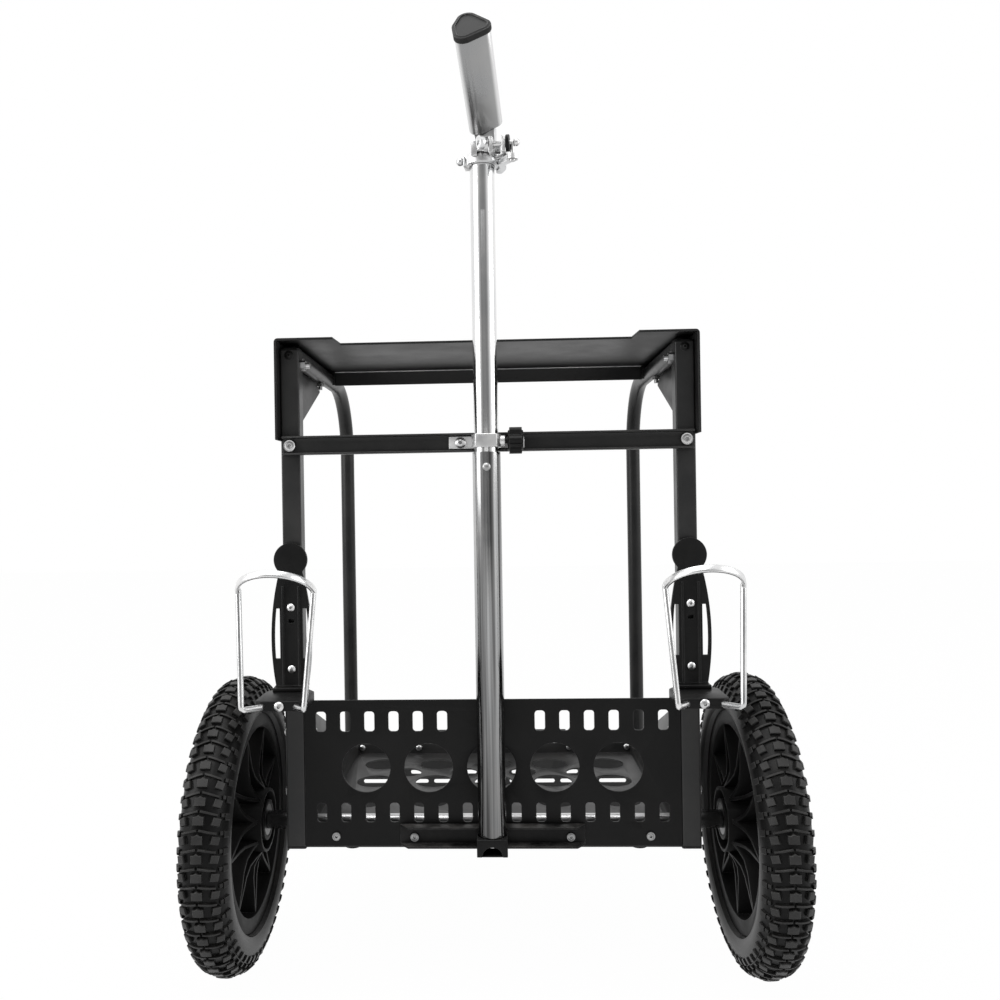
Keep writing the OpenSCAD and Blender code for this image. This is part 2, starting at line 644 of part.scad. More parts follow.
module front_panel() color(BLACK) from_axle() difference() {
    translate([0, front_face, 0]) rotate([90, 0, 0]) linear_extrude(sheet_t) difference() {
        polygon([
            [-front_half, front_panel_z0 + front_corner], [-front_half, front_side_z],
            [-front_mid_half, front_side_z], [front_corner - front_mid_half, front_mid_z],
            [front_mid_half - front_corner, front_mid_z], [front_mid_half, front_side_z],
            [front_half, front_side_z], [front_half, front_panel_z0 + front_corner],
            [front_half - front_corner, front_panel_z0], [front_corner - front_half, front_panel_z0]]);
        for (s = [-1, 1]) {
            translate([s * front_window_x, front_screw_z + 2.5]) square(front_window, center = true);
            for (x = front_screw_x) translate([s * x, front_screw_z]) circle(screw_r + slip);
            translate([s * post_x, leg_screw_z]) circle(screw_r + slip);
            translate([s * front_side_slot_x, front_slot_z])
                round_rect(front_side_slot_w, front_slot_t, front_slot_round);
        }
        // a plain ladder of slots, widest in the middle row
        for (row = [-1:1], i = [-3:3])
            translate([i * front_slot_pitch, front_slot_z + row * front_slot_rise])
                round_rect(row == 0 ? front_slot_w : front_slot_narrow, front_slot_t, front_slot_round);
    }
}
module front_panel_screws() color(STEEL) from_axle() {
    for (x = front_screw_x, s = [-1, 1]) translate([s * x, tray_reach - sheet_t, front_screw_z])
        rotate([90, 0, 0]) button_screw(4.2, 2.6, screw_r, 2 * sheet_t + 3, 1.6);
    for (s = [-1, 1]) translate([s * post_x, front_rear, leg_screw_z]) rotate([90, 0, 0])
        button_screw(4.2, 2.6, screw_r, leg_reach + leg_r - front_rear + 4, 1.6);
}

// ---------- Pole ----------
pole_y = -pole_setback;
outer_r = outer_d / 2;
inner_r = outer_r - outer_wall - slide;
bracket_half = 96;
bracket_z0 = post_z0 + 1.8;
bracket_h = 21.6;
bracket_rear = post_rear - 13;
bracket_chamfer = 9;
socket_half = 15.4;
socket_z0 = bracket_z0 + sheet_t + fit;
socket_h = bracket_h - 2 * sheet_t - 2 * fit;
socket_rear = pole_y - outer_r - 2.3;
arch_r = 10;
pole_seat = 4;
outer_z0 = socket_z0 + socket_h - pole_seat;
outer_top = outer_z0 + outer_len;
button_z = outer_top - 15;
button_r = 4;
button_stem_r = 1.8;
slot_gap = 0.3;
foot_plug_h = 22;
inner_z0 = pole_top - inner_len;

module pole_bracket() color(BLACK) from_axle() difference() {
    translate([0, 0, bracket_z0]) difference() {
        linear_extrude(bracket_h) polygon([
            [-bracket_half, post_rear], [-bracket_half, web_rear],
            [-bracket_half + bracket_chamfer, bracket_rear], [bracket_half - bracket_chamfer, bracket_rear],
            [bracket_half, web_rear], [bracket_half, post_rear]]);
        box([-bracket_half - cut, bracket_rear - cut, sheet_t],
            [bracket_half + cut, web_rear, bracket_h - sheet_t]);
    }
    for (x = [-bracket_screw_x, bracket_screw_x]) translate([x, web_rear - cut, panel_screw_z])
        rod_y(screw_r + slip, sheet_t + 2 * cut);
    // the pole stands close behind the upper flange
    translate([0, pole_y, bracket_z0 + bracket_h - sheet_t - cut]) cylinder(r = outer_r + seat_gap, h = 10);
}
module pole_bracket_screws() color(STEEL) from_axle() for (x = [-bracket_screw_x, bracket_screw_x])
    translate([x, web_rear, panel_screw_z]) rotate([90, 0, 0]) button_screw(4.2, 2.6, screw_r, 12, 1.6);
module pole_socket() color(PLASTIC) from_axle() difference() {
    translate([0, 0, socket_z0]) {
        difference() {
            box([-socket_half, socket_rear, 0], [socket_half, web_rear, socket_h]);
            translate([0, socket_rear - cut, 0]) rod_y(arch_r, web_rear - socket_rear - 3);
        }
    }
    translate([0, pole_y, outer_z0 - fit]) cylinder(r = outer_r + fit, h = 30);
    translate([0, pole_y, socket_z0]) cylinder(r = bolt_r + slip, h = 30);
}
module pole_foot_bolt() color(STEEL) from_axle() translate([0, pole_y, socket_z0 + arch_r - 1.4]) {
    translate([0, 0, -3.6]) difference() {
        cylinder(r = 5, h = 3.6);
        translate([0, 0, -cut]) cylinder(r = 2, h = 3, $fn = 6);
    }
    cylinder(r = bolt_r, h = foot_plug_h - 2);
}
module pole_foot_plug() color(PLASTIC) from_axle() translate([0, pole_y, outer_z0]) difference() {
    cylinder(r = outer_r - outer_wall - fit, h = foot_plug_h);
    translate([0, 0, -cut]) cylinder(r = bolt_r + fit, h = foot_plug_h + 2 * cut);
}
module pole_outer_tube() color(ALLOY) from_axle() translate([0, pole_y, 0]) difference() {
    translate([0, 0, outer_z0]) tube(outer_r, outer_wall, outer_len);
    translate([0, -outer_r - cut, button_z]) rod_y(button_r + fit, outer_r);
}
module pole_inner_tube() color(ALLOY) from_axle() translate([0, pole_y, 0]) difference() {
    translate([0, 0, inner_z0]) tube(inner_r, inner_wall, inner_len);
    // the lock button's stem runs in this slot
    box([-button_stem_r - slot_gap, -inner_r - cut, button_z - button_stem_r - slot_gap],
        [button_stem_r + slot_gap, 0, button_z + pole_travel + button_stem_r + slot_gap]);
}
module lock_button() color(STEEL) from_axle() translate([0, pole_y, button_z]) rotate([90, 0, 0]) {
    intersection() {
        translate([0, 0, outer_r - 0.1]) cylinder(r = button_r, h = 3);
        translate([0, 0, outer_r - 2.6]) sphere(5.5, $fn = 64);
    }
    stem_foot = inner_r - inner_wall - 1;
    translate([0, 0, stem_foot - 1.5]) cylinder(r = 3.4, h = 1.5);
    translate([0, 0, stem_foot - 0.5]) cylinder(r = button_stem_r, h = outer_r - stem_foot + 0.6);
}

// ---------- Pole clamp on the crossbar ----------
saddle_h = 13;
saddle_half = 39;
saddle_t = 2.5;
saddle_wall = 2.1;
saddle_screw_x = -27;
saddle_bore_r = inner_r + seat_gap;
saddle_r = saddle_bore_r + saddle_wall;
knob_r = 14.5;
knob_w = 15.5;
knob_gap = 3;
knob_x = saddle_r + 4 + knob_gap;
module clamp_saddle() color(ALLOY) from_axle() translate([0, 0, crossbar_z - saddle_h / 2]) difference() {
    union() {
        box([-saddle_half, web_rear - saddle_t, 0], [saddle_half, web_rear, saddle_h]);
        translate([0, pole_y, 0]) cylinder(r = saddle_r, h = saddle_h);
        box([-saddle_r, pole_y, 0], [saddle_r, web_rear, saddle_h]);
        // flat front pad
        box([-saddle_r + 4, pole_y - saddle_r - 0.6, 0], [saddle_r - 4, pole_y, saddle_h]);
        // boss for the knob's screw
        translate([0, pole_y, saddle_h / 2]) rod_x(5.5, saddle_r + 4);
    }
    translate([0, pole_y, -cut]) cylinder(r = saddle_bore_r, h = saddle_h + 2 * cut);
    translate([0, pole_y, saddle_h / 2]) rod_x(bolt_r + fit, saddle_r + 20);
    translate([saddle_screw_x, web_rear - saddle_t - cut, saddle_h / 2])
        rod_y(screw_r + slip, saddle_t + 2 * cut);
}
module clamp_screw() color(STEEL) from_axle() translate([saddle_screw_x, web_rear - saddle_t, crossbar_z])
    rotate([90, 0, 0]) button_screw(5.6, 3, screw_r, saddle_t + sheet_t + 5, 2);
module clamp_knob() color(PLASTIC) from_axle() translate([0, pole_y, crossbar_z]) {
    translate([inner_r + seat_gap, 0, 0]) rod_x(bolt_r, knob_x - inner_r + 2);
    translate([knob_x, 0, 0]) rotate([0, 90, 0]) difference() {
        union() {
            cylinder(r = knob_r - 4, h = knob_w);
            for (a = [0:60:300]) rotate(a + 30) translate([knob_r - 4.2, 0, 1.5]) cylinder(r = 4.2, h = knob_w - 3);
        }
        translate([0, 0, knob_w - 2]) cylinder(r = 5.5, h = 3);
    }
}

// ---------- Head ----------
hinge_z = pole_top + 11;
collar_r = inner_r + fit;
collar_out = inner_r + 4.5;
collar_z0 = -18;
collar_lid = pole_top - hinge_z + seat_gap;
lid_t = 2.5;
collar_z1 = collar_lid + lid_t;
grip_shift = 4;
lug_half = 6;
lug_r = 7.5;
clevis_t = 4;
clevis_x = lug_half + seat_gap;
tilt_bolt_r = 4;
ear_t = 4;
ear_gap = 9;
ear_x = 10;
ear_x2 = ear_x + ear_t + ear_gap;
ear_y = -24;
ear_z0 = -13;
ear_z1 = 3;
slit_w = 2.5;
skewer_y = -19;
skewer_z = -3.5;
skewer_r = 2.5;
skewer_head_r = 6.5;
skewer_head_t = 5;
skewer_end_x = 37;
cam_washer_t = 3.5;
lever_pin_x = 33;
lever_pin_r = 2;
lever_z = -20;
lever_t = 5;
lever_w = 7;
lever_hook_r = collar_out + lever_w / 2 + 0.8;
lever_hook_from = -15;
lever_hook_to = 40;
cheek_x = -collar_out - 1;
cheek_screw_y = -6;
cheek_screw_z = -13.5;
cheek_ball_r = 4;
cheek_z0 = -19;
grip_wall = 2;
grip_cap_t = 6;
// The grip's section is a rounded triangle, as shares of its width
grip_corner = 0.27;
grip_step = 6;
grip_corners = [[0.23, -0.02], [-0.14, 0.33], [-0.23, 0.03], [-0.17, -0.29]];
plug_depth = 14;

// Head frame: origin on the pole's middle at the height of the tilt bolt
module at_head() from_axle() translate([0, pole_y, hinge_z]) rotate([0, 0, -grip_turn]) children();
module at_tilt() at_head() translate([grip_shift, 0, 0]) children();

module head_collar() color(ALLOY) at_head() difference() {
    union() {
        translate([0, 0, collar_z0]) cylinder(r = collar_out, h = collar_z1 - collar_z0);
        // lug for the tilt bolt
        translate([grip_shift - lug_half, 0, 0]) rod_x(lug_r, 2 * lug_half);
        box([grip_shift - lug_half, -lug_r, collar_lid], [grip_shift + lug_half, lug_r, 0]);
        // pinch ears and the bridge behind them
        box([ear_x, ear_y, ear_z0], [ear_x + ear_t, -10, ear_z1]);
        box([ear_x2, ear_y, ear_z0], [ear_x2 + ear_t, 2, ear_z1]);
        box([ear_x, -6, ear_z0], [ear_x2 + ear_t, 2, collar_z1]);
        // left cheek
        box([cheek_x, -10, cheek_z0], [-9, 6, collar_z1]);
    }
    translate([cheek_x - cut, cheek_screw_y, cheek_screw_z]) rod_x(skewer_r + fit, 6 + cut + fit);
    translate([0, 0, cheek_z0 - cut]) cylinder(r = collar_r, h = collar_lid - cheek_z0 + cut);
    // slit that the skewer closes
    box([ear_x + ear_t, -40, collar_z0 - cut], [ear_x + ear_t + slit_w, -6, collar_lid]);
    translate([grip_shift - 20, 0, 0]) rod_x(tilt_bolt_r + fit, 40);
    translate([ear_x - 10, skewer_y, skewer_z]) rod_x(skewer_r + fit, 60);
    // relief round the skewer's head
    translate([ear_x - skewer_head_t - seat_gap, skewer_y, skewer_z])
        rod_x(skewer_head_r + seat_gap, skewer_head_t + seat_gap);
}
module collar_skewer() color(STEEL) at_head() translate([0, skewer_y, skewer_z]) {
    translate([ear_x - skewer_head_t, 0, 0]) rod_x(skewer_head_r, skewer_head_t);
    translate([ear_x - 1, 0, 0]) rod_x(skewer_r, skewer_end_x - ear_x + 1);
    translate([skewer_end_x, 0, 0]) sphere(3.6, $fn = 48);
    // post that carries the lever's pin
    translate([lever_pin_x, 0, lever_z + lever_t + fit - skewer_z])
        cylinder(r = lever_pin_r + 0.2, h = skewer_z - lever_z - lever_t);
}
module cam_washer() color(PLASTIC) at_head()
    translate([ear_x2 + ear_t, skewer_y, skewer_z]) difference() {
        rod_x(8, cam_washer_t);
        translate([-cut, 0, 0]) rod_x(skewer_r + fit, cam_washer_t + 2 * cut);
    }
module cheek_screw() color(STEEL) at_head() translate([cheek_x, cheek_screw_y, cheek_screw_z]) {
    translate([-1, 0, 0]) rod_x(skewer_r, 7);
    translate([0.6 - cheek_ball_r, 0, 0]) rotate([0, 90, 0]) sphere(cheek_ball_r, $fn = 48);
}
// Strip of a width from one point to another
module strip_2d(from, to, w) translate(from)
    rotate(atan2(to[1] - from[1], to[0] - from[0])) translate([0, -w / 2]) square([norm(to - from), w]);
// The lever runs from its pin past the collar's side and hooks round behind it
module lever_2d() {
    hook = function (a) lever_hook_r * [cos(a), sin(a)];
    translate([lever_pin_x, skewer_y]) circle(5.5);
    strip_2d([lever_pin_x, skewer_y], hook(lever_hook_from), lever_w);
    for (a = [lever_hook_from, lever_hook_to]) translate(hook(a)) circle(lever_w / 2);
    intersection() {
        ring_2d(lever_hook_r + lever_w / 2, lever_hook_r - lever_w / 2);
        polygon([[0, 0], 2 * hook(lever_hook_from), 2 * hook(lever_hook_to)]);
    }
}
module quick_release_lever() color(ALLOY) at_head() translate([0, 0, lever_z]) difference() {
    linear_extrude(lever_t) lever_2d();
    translate([lever_pin_x, skewer_y, -cut]) cylinder(r = lever_pin_r + fit, h = lever_t + 2 * cut);
}
module lever_pin() color(STEEL) at_head() translate([lever_pin_x, skewer_y, lever_z - 1.5]) {
    cylinder(r = lever_pin_r + 1, h = 1.4);
    cylinder(r = lever_pin_r, h = lever_t + 1.5);
}
module tilt_bolt() color(STEEL) at_tilt() translate([-clevis_x - clevis_t, 0, 0]) rotate([0, -90, 0])
    button_screw(7.4, 3.5, tilt_bolt_r, 2 * (clevis_x + clevis_t) + 5, 2.5);
module tilt_bolt_nut() color(STEEL) at_tilt() translate([clevis_x + clevis_t, 0, 0]) difference() {
    hex_x(12, 5);
    translate([-cut, 0, 0]) rod_x(tilt_bolt_r + fit, 5 + 2 * cut);
}
// Grip frame: z runs along the grip from its lower end
module at_grip() at_tilt() translate([0, 0, grip_rise]) rotate([grip_tilt, 0, 0]) children();
// The corner that lies farthest in a direction carries the outline there
function grip_corner_at(a) = let (reach = [for (p = grip_corners) p * [cos(a), sin(a)]])
    grip_corners[search(max(reach), reach)[0]];
module grip_2d(w) polygon([for (a = [0:grip_step:360 - grip_step])
    w * (grip_corner_at(a) + grip_corner * [cos(a), sin(a)])]);
module grip_bracket() color(ALLOY) {
    at_tilt() difference() {
        union() {
            for (s = [0, 1]) mirror([s, 0, 0]) translate([clevis_x, 0, 0]) {
                rod_x(lug_r, clevis_t);
                box([0, -lug_r, 0], [clevis_t, lug_r, grip_rise - 4]);
            }
            box([-clevis_x - clevis_t, -lug_r, lug_r + 1.5], [clevis_x + clevis_t, lug_r, grip_rise - 4]);
        }
        translate([-30, 0, 0]) rod_x(tilt_bolt_r + fit, 60);
        translate([0, 0, grip_rise]) rotate([grip_tilt, 0, 0]) cylinder(r = 60, h = 60);
    }
    at_grip() linear_extrude(plug_depth) grip_2d(grip_w - 2 * grip_wall - 2 * slip);
}
module handle_grip() color(ALLOY) at_grip() difference() {
    linear_extrude(grip_len) grip_2d(grip_w);
    translate([0, 0, -cut]) linear_extrude(grip_len + 2 * cut) grip_2d(grip_w - 2 * grip_wall);
}
module grip_end_cap() color(PLASTIC) at_grip() {
    translate([0, 0, grip_len]) linear_extrude(grip_cap_t) grip_2d(grip_w + 2);
    translate([0, 0, grip_len - 8]) linear_extrude(8) grip_2d(grip_w - 2 * grip_wall - 2 * slip);
}

// ---------- Bottle cages ----------
cage_t = 4;
cage_pad = 5;
cage_rear = post_rear - cage_pad - cage_t;
cage_z0 = shelf_z + shelf_t;
cage_head_r = 17.5;
cage_h = 152;
belly_h = 52;
cage_top = cage_z0 + cage_h;
belly_z = cage_z0 + belly_h;
belly_bow_r = 280;
cage_strip = 3.2;
window_w = 5.8;
window_h = 52;
shelf_half = 25;
shelf_reach = 66;
toe_x = 17;
toe_low = [30, 25, 2];
arch_tilt = 32;
arch_h = 108;
arch_z = cage_z0 + arch_h;
arch_rear = 4;
knuckle_t = 0.35;
module at_cage(side) from_axle() translate([side * post_x, 0, 0]) children();
// One bowed side of the belly; the other is its mirror image
module bow_2d(half) translate([half - belly_bow_r, belly_z]) circle(belly_bow_r, $fn = 256);
module backbone_2d() difference() {
    union() {
        intersection() {
            bow_2d(cage_w / 2);
            mirror([1, 0]) bow_2d(cage_w / 2);
            translate([-cage_w, cage_z0]) square([2 * cage_w, cage_top - cage_z0 - cage_head_r]);
        }
        translate([0, cage_top - cage_head_r]) circle(cage_head_r);
    }
    // side windows leave a thin outer strip
    for (s = [0, 1]) mirror([s, 0]) intersection() {
        bow_2d(cage_w / 2 - cage_strip);
        translate([cage_w / 2 - cage_strip - window_w, belly_z - 20]) square([20, window_h]);
    }
    for (i = [0, 1]) translate([0, cage_screw_z + (i - 0.5) * cage_screw_gap]) circle(cage_screw_r + slip);
    translate([0, cage_screw_z + 18]) square([6, 4], center = true);
}
module cage_backbone(side) color(PLASTIC) at_cage(side) difference() {
    union() {
        translate([0, cage_rear + cage_t, 0]) rotate([90, 0, 0]) linear_extrude(cage_t) backbone_2d();
        // pads against the post
        for (i = [0, 1]) translate([0, cage_rear + cage_t - cut, cage_screw_z + (i - 0.5) * cage_screw_gap])
            rod_y(7, cage_pad + cut);
        // raised borders of the middle groove
        for (s = [0, 1]) mirror([s, 0, 0])
            box([7.2, cage_rear - 2, cage_z0], [9.4, cage_rear + 1, cage_top - 45]);
        // foot on the shelf
        box([-shelf_half + 8, cage_rear - 14, cage_z0], [shelf_half - 8, cage_rear + cage_t, cage_z0 + 4]);
    }
    for (i = [0, 1]) translate([0, cage_rear - 5, cage_screw_z + (i - 0.5) * cage_screw_gap])
        rod_y(cage_screw_r + slip, 30);
}
module cage_shelf(side) color(PLASTIC) at_cage(side) difference() {
    translate([0, 0, shelf_z]) linear_extrude(shelf_t) polygon([
        [-post_w / 2 - 3, post_rear], [-shelf_half, post_rear - 18], [-shelf_half, post_rear - shelf_reach + 6],
        [-shelf_half + 6, post_rear - shelf_reach], [shelf_half - 6, post_rear - shelf_reach],
        [shelf_half, post_rear - shelf_reach + 6], [shelf_half, post_rear - 18], [post_w / 2 + 3, post_rear]]);
    for (s = [-1, 1]) translate([s * toe_x, post_rear - shelf_reach - cut, shelf_z + shelf_t / 2])
        rod_y(rod_d / 2 + fit, 20 + cut);
    translate([0, post_rear - shelf_reach - cut, shelf_z + shelf_t / 2]) rod_y(screw_r + slip, 20);
}
module rod_between(a, b, r) {
    d = b - a;
    len = norm(d);
    translate(a) rotate([0, acos(d[2] / len), atan2(d[1], d[0])]) cylinder(r = r, h = len);
}
// A bend in the rod, as a small knuckle
module knuckle(p) translate(p) sphere(rod_d / 2 + knuckle_t, $fn = 48);
module cage_hoop(side) color(STEEL) at_cage(side) {
    shelf_rear = post_rear - shelf_reach;
    mid = shelf_z + shelf_t / 2;
    for (s = [-1, 1]) {
        inside = [s * toe_x, shelf_rear + 15, mid];
        mouth = [s * toe_x, shelf_rear - 4, mid];
        toe = [s * toe_low[0], shelf_rear - toe_low[1], mid + toe_low[2]];
        top = [s * hoop_r, shelf_rear - arch_rear, arch_z];
        rod_between(inside, mouth, rod_d / 2);
        knuckle(mouth);
        rod_between(mouth, toe, rod_d / 2);
        knuckle(toe);
        rod_between(toe, top, rod_d / 2);
        knuckle(top);
    }
    translate([0, shelf_rear - arch_rear, arch_z]) rotate([-arch_tilt, 0, 0]) rotate([0, 0, 180])
        rotate_extrude(angle = 180, $fn = 96) translate([hoop_r, 0]) round_rect(4, 7.4, 1.6);
}
module cage_screws() color(STEEL) {
    for (side = [-1, 1]) at_cage(side) {
        for (i = [0, 1]) translate([0, cage_rear, cage_screw_z + (i - 0.5) * cage_screw_gap])
            rotate([90, 0, 0]) button_screw(4, 2.6, cage_screw_r, cage_t + cage_pad + post_wall + 3, 1.5);
        translate([0, post_rear - shelf_reach, shelf_z + shelf_t / 2]) rotate([90, 0, 0])
            button_screw(4.6, 3, screw_r, 14, 1.8);
    }
}

rear_post(-1);  // rear_post_left
rear_post(1);  // rear_post_right
post_top_caps();
post_end_caps();
crossbar();
crossbar_bolts();
seat_pan();
seat_through_bolts();
rail_end_screws();
leg_tube(-1);  // leg_tube_left
leg_tube(1);  // leg_tube_right
rail_end_plugs();
rail_bolts();
leg_feet();
rear_panel();
panel_screws();
floor_tray();
tray_bolts();
front_panel();
front_panel_screws();
axle();
axle_spacers();
axle_nuts();
wheel_rim(-1);  // wheel_rim_left
wheel_rim(1);  // wheel_rim_right
tyre(-1);  // tyre_left
tyre(1);  // tyre_right
inner_tube(-1);  // inner_tube_left
inner_tube(1);  // inner_tube_right
wheel_bearings(-1);  // wheel_bearings_left
wheel_bearings(1);  // wheel_bearings_right
pole_bracket();
pole_bracket_screws();
pole_socket();
pole_foot_plug();
pole_foot_bolt();
pole_outer_tube();
pole_inner_tube();
lock_button();
clamp_saddle();
clamp_screw();
clamp_knob();
head_collar();
collar_skewer();
cam_washer();
cheek_screw();
quick_release_lever();
lever_pin();
tilt_bolt();
tilt_bolt_nut();
grip_bracket();
handle_grip();
grip_end_cap();
cage_backbone(-1);  // cage_backbone_left
cage_backbone(1);  // cage_backbone_right
cage_shelf(-1);  // cage_shelf_left
cage_shelf(1);  // cage_shelf_right
cage_hoop(-1);  // cage_hoop_left
cage_hoop(1);  // cage_hoop_right
cage_screws();
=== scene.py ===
# %% [markdown]
# # A two-wheeled golf push cart
# The cart is already drawn as exact solids in another program. This script loads them as a fixed frame,
# gives every surface its finish, and models again those pieces whose look lives in small edges, tread and
# bends. Everything is in metres, X runs across the cart, Y forwards and Z up.

# %% Load the frame
import json
import math
import bpy
from mathutils import Matrix, Vector


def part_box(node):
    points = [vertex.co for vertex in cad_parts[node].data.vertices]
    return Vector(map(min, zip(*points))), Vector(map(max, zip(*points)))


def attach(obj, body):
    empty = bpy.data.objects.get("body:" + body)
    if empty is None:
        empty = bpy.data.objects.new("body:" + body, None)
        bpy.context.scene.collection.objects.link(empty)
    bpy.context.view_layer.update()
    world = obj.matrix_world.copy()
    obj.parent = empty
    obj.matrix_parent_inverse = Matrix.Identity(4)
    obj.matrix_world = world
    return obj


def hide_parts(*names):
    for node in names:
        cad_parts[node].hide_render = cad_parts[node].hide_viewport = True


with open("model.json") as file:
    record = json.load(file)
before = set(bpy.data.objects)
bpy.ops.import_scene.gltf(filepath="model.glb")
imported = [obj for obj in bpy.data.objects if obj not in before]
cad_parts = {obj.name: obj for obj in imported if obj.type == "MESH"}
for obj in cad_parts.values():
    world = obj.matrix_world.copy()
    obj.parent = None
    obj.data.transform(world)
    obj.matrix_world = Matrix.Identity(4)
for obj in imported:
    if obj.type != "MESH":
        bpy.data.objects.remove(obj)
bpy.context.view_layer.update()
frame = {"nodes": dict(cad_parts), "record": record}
bpy.ops.object.select_all(action="DESELECT")
MM = 0.001
scene = bpy.context.scene
nodes = frame["nodes"]

# %% [markdown]
# ## Places that the pieces share
# Everything below is measured from a few fixed things: the wheels' middles, the tyre's radius, the pole and
# the hinge of the grip. They are read from the boxes of the loaded solids, so that they follow a later
# change to the solids.

# %% Read the main places
def middle(node):
    """The middle of a solid's box."""
    low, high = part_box(node)
    return (Vector(low) + Vector(high)) / 2


SIDES = ("left", "right")
wheel_mid = {side: middle("tyre_" + side) for side in SIDES}
tyre_low, tyre_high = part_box("tyre_left")
tyre_r = (tyre_high[2] - tyre_low[2]) / 2
pole = middle("pole_inner_tube")
hinge = middle("tilt_bolt").z
print("wheel", wheel_mid["left"], "tyre radius", round(tyre_r, 4), "hinge height", round(hinge, 4))

# %% [markdown]
# ## The camera
# The cart is seen from straight behind, from a little below the seat. The camera is level, so that the
# posts stay parallel, and it is rolled by less than a degree. A small lens shift brings the cart to its
# place in the frame.

# %% Place the camera
CAMERA_PLACE = (0.00963, -1.06581, 0.49266)
CAMERA_TURN = (90.0, 0.8888, 2.2656)
CAMERA_LENS = 32.513
CAMERA_SHIFT = (0.03897, 0.00405)
camera_data = bpy.data.cameras.new("camera")
camera_data.lens = CAMERA_LENS
camera_data.sensor_width = 36.0
camera_data.shift_x, camera_data.shift_y = CAMERA_SHIFT
camera = bpy.data.objects.new("camera", camera_data)
camera.location = CAMERA_PLACE
camera.rotation_euler = [math.radians(a) for a in CAMERA_TURN]
scene.collection.objects.link(camera)
scene.camera = camera
print("camera", CAMERA_PLACE)

# %% [markdown]
# ## Node helpers
# A finish is a small network of nodes. These helpers add a node, set its values and join it up in one line,
# so that each finish below reads as a short list of what the surface does.

# %% Helpers for building finishes
def join_up(tree, source, target):
    """Joins an output socket to an input socket, or sets the input to a plain value."""
    if isinstance(source, bpy.types.NodeSocket):
        tree.links.new(source, target)
    else:
        target.default_value = source


def add_node(tree, kind, **values):
    """Adds a node; names with an underscore instead of a space set its inputs, others its properties."""
    node = tree.nodes.new(kind)
    for name, value in values.items():
        socket = node.inputs.get(name.replace("_", " "))
        if socket is None:
            setattr(node, name, value)
        else:
            join_up(tree, value, socket)
    return node


def maths(tree, operation, a, b=0.0, clamp=False):
    """One Math node on two numbers or sockets."""
    node = tree.nodes.new("ShaderNodeMath")
    node.operation = operation
    node.use_clamp = clamp
    join_up(tree, a, node.inputs[0])
    join_up(tree, b, node.inputs[1])
    return node.outputs[0]


def ramp_between(tree, value, low, high, to_low=0.0, to_high=1.0):
    """Maps a value smoothly from low..high to another range."""
    node = tree.nodes.new("ShaderNodeMapRange")
    node.interpolation_type = "SMOOTHSTEP"
    tree.links.new(value, node.inputs["Value"])
    for name, number in zip(("From Min", "From Max", "To Min", "To Max"), (low, high, to_low, to_high)):
        node.inputs[name].default_value = number
    return node.outputs["Result"]


def mix_colour(tree, factor, a, b):
    """Mixes two colours; each may be a tuple or a socket."""
    node = tree.nodes.new("ShaderNodeMix")
    node.data_type = "RGBA"
    for label, value in (("Factor", factor), ("A", a), ("B", b)):
        join_up(tree, value, node.inputs[label])
    return node.outputs["Result"]


def object_place(tree):
    """The place on the object, in metres."""
    return add_node(tree, "ShaderNodeTexCoord").outputs["Object"]


def noise(tree, place, **values):
    """Soft noise at a place, from 0 to 1; Scale, Detail and Roughness may be numbers or sockets."""
    return add_node(tree, "ShaderNodeTexNoise", Vector=place, **values).outputs["Fac"]


def facing(tree, axis):
    """How far a face looks along an axis, from -1 to 1."""
    normal = add_node(tree, "ShaderNodeNewGeometry").outputs["Normal"]
    return add_node(tree, "ShaderNodeSeparateXYZ", Vector=normal).outputs[axis]


def grey(value, warm=0.0):
    """A neutral colour, leaning warm or cool by a small amount."""
    return (value * (1 + warm), value, value * (1 - warm), 1.0)


print("node helpers ready")


# %% [markdown]
# ## The floor and the light
# The cart stands on a plain white studio sweep. The sweep looks white to the camera and in reflections, and
# still takes a faint shadow, because part of what the camera sees there is a plain matt surface. The room
# is darker on the side of the camera, as a real studio is, and that gives the polished pole its grey middle
# between two bright sides.

# %% Floor and room
FLOOR_SIZE = 12.0
FLOOR_DROP = 0.0006
FLOOR_GLOW = 0.985
bpy.ops.mesh.primitive_plane_add(size=FLOOR_SIZE, location=(0, 0, -FLOOR_DROP))
floor = bpy.context.object
floor.name = "studio_floor"


def seen_directly(tree):
    """1 for the camera, reflections and clear bodies, and 0 for light that falls on things."""
    path = add_node(tree, "ShaderNodeLightPath")
    seen = maths(tree, "MAXIMUM", path.outputs["Is Camera Ray"], path.outputs["Is Glossy Ray"])
    return maths(tree, "MAXIMUM", seen, path.outputs["Is Transmission Ray"])


def mix_to_output(tree, share, first, second, kind):
    """Mixes two shaders by a share and joins them to a new output node."""
    mix = tree.nodes.new("ShaderNodeMixShader")
    for socket, source in zip(mix.inputs, (share, first.outputs[0], second.outputs[0])):
        join_up(tree, source, socket)
    join_up(tree, mix.outputs[0], add_node(tree, kind).inputs["Surface"])


def make_floor_finish():
    """White to the camera and to reflections, matt to the light, with a part left for the shadow."""
    finish = bpy.data.materials.new("studio_white")
    finish.use_nodes = True
    tree = finish.node_tree
    tree.nodes.clear()
    matt = add_node(tree, "ShaderNodeBsdfDiffuse", Color=grey(0.8))
    white = add_node(tree, "ShaderNodeEmission", Color=grey(1.0), Strength=1.0)
    share = maths(tree, "MULTIPLY", seen_directly(tree), FLOOR_GLOW)
    mix_to_output(tree, share, matt, white, "ShaderNodeOutputMaterial")
    return finish


floor.data.materials.append(make_floor_finish())
print("floor", FLOOR_SIZE, "m")

# %% The room around the cart
ROOM_LIGHT = 0.62
ROOM_BACK = 0.24
BACK_FROM, BACK_FULL = 0.55, 0.93


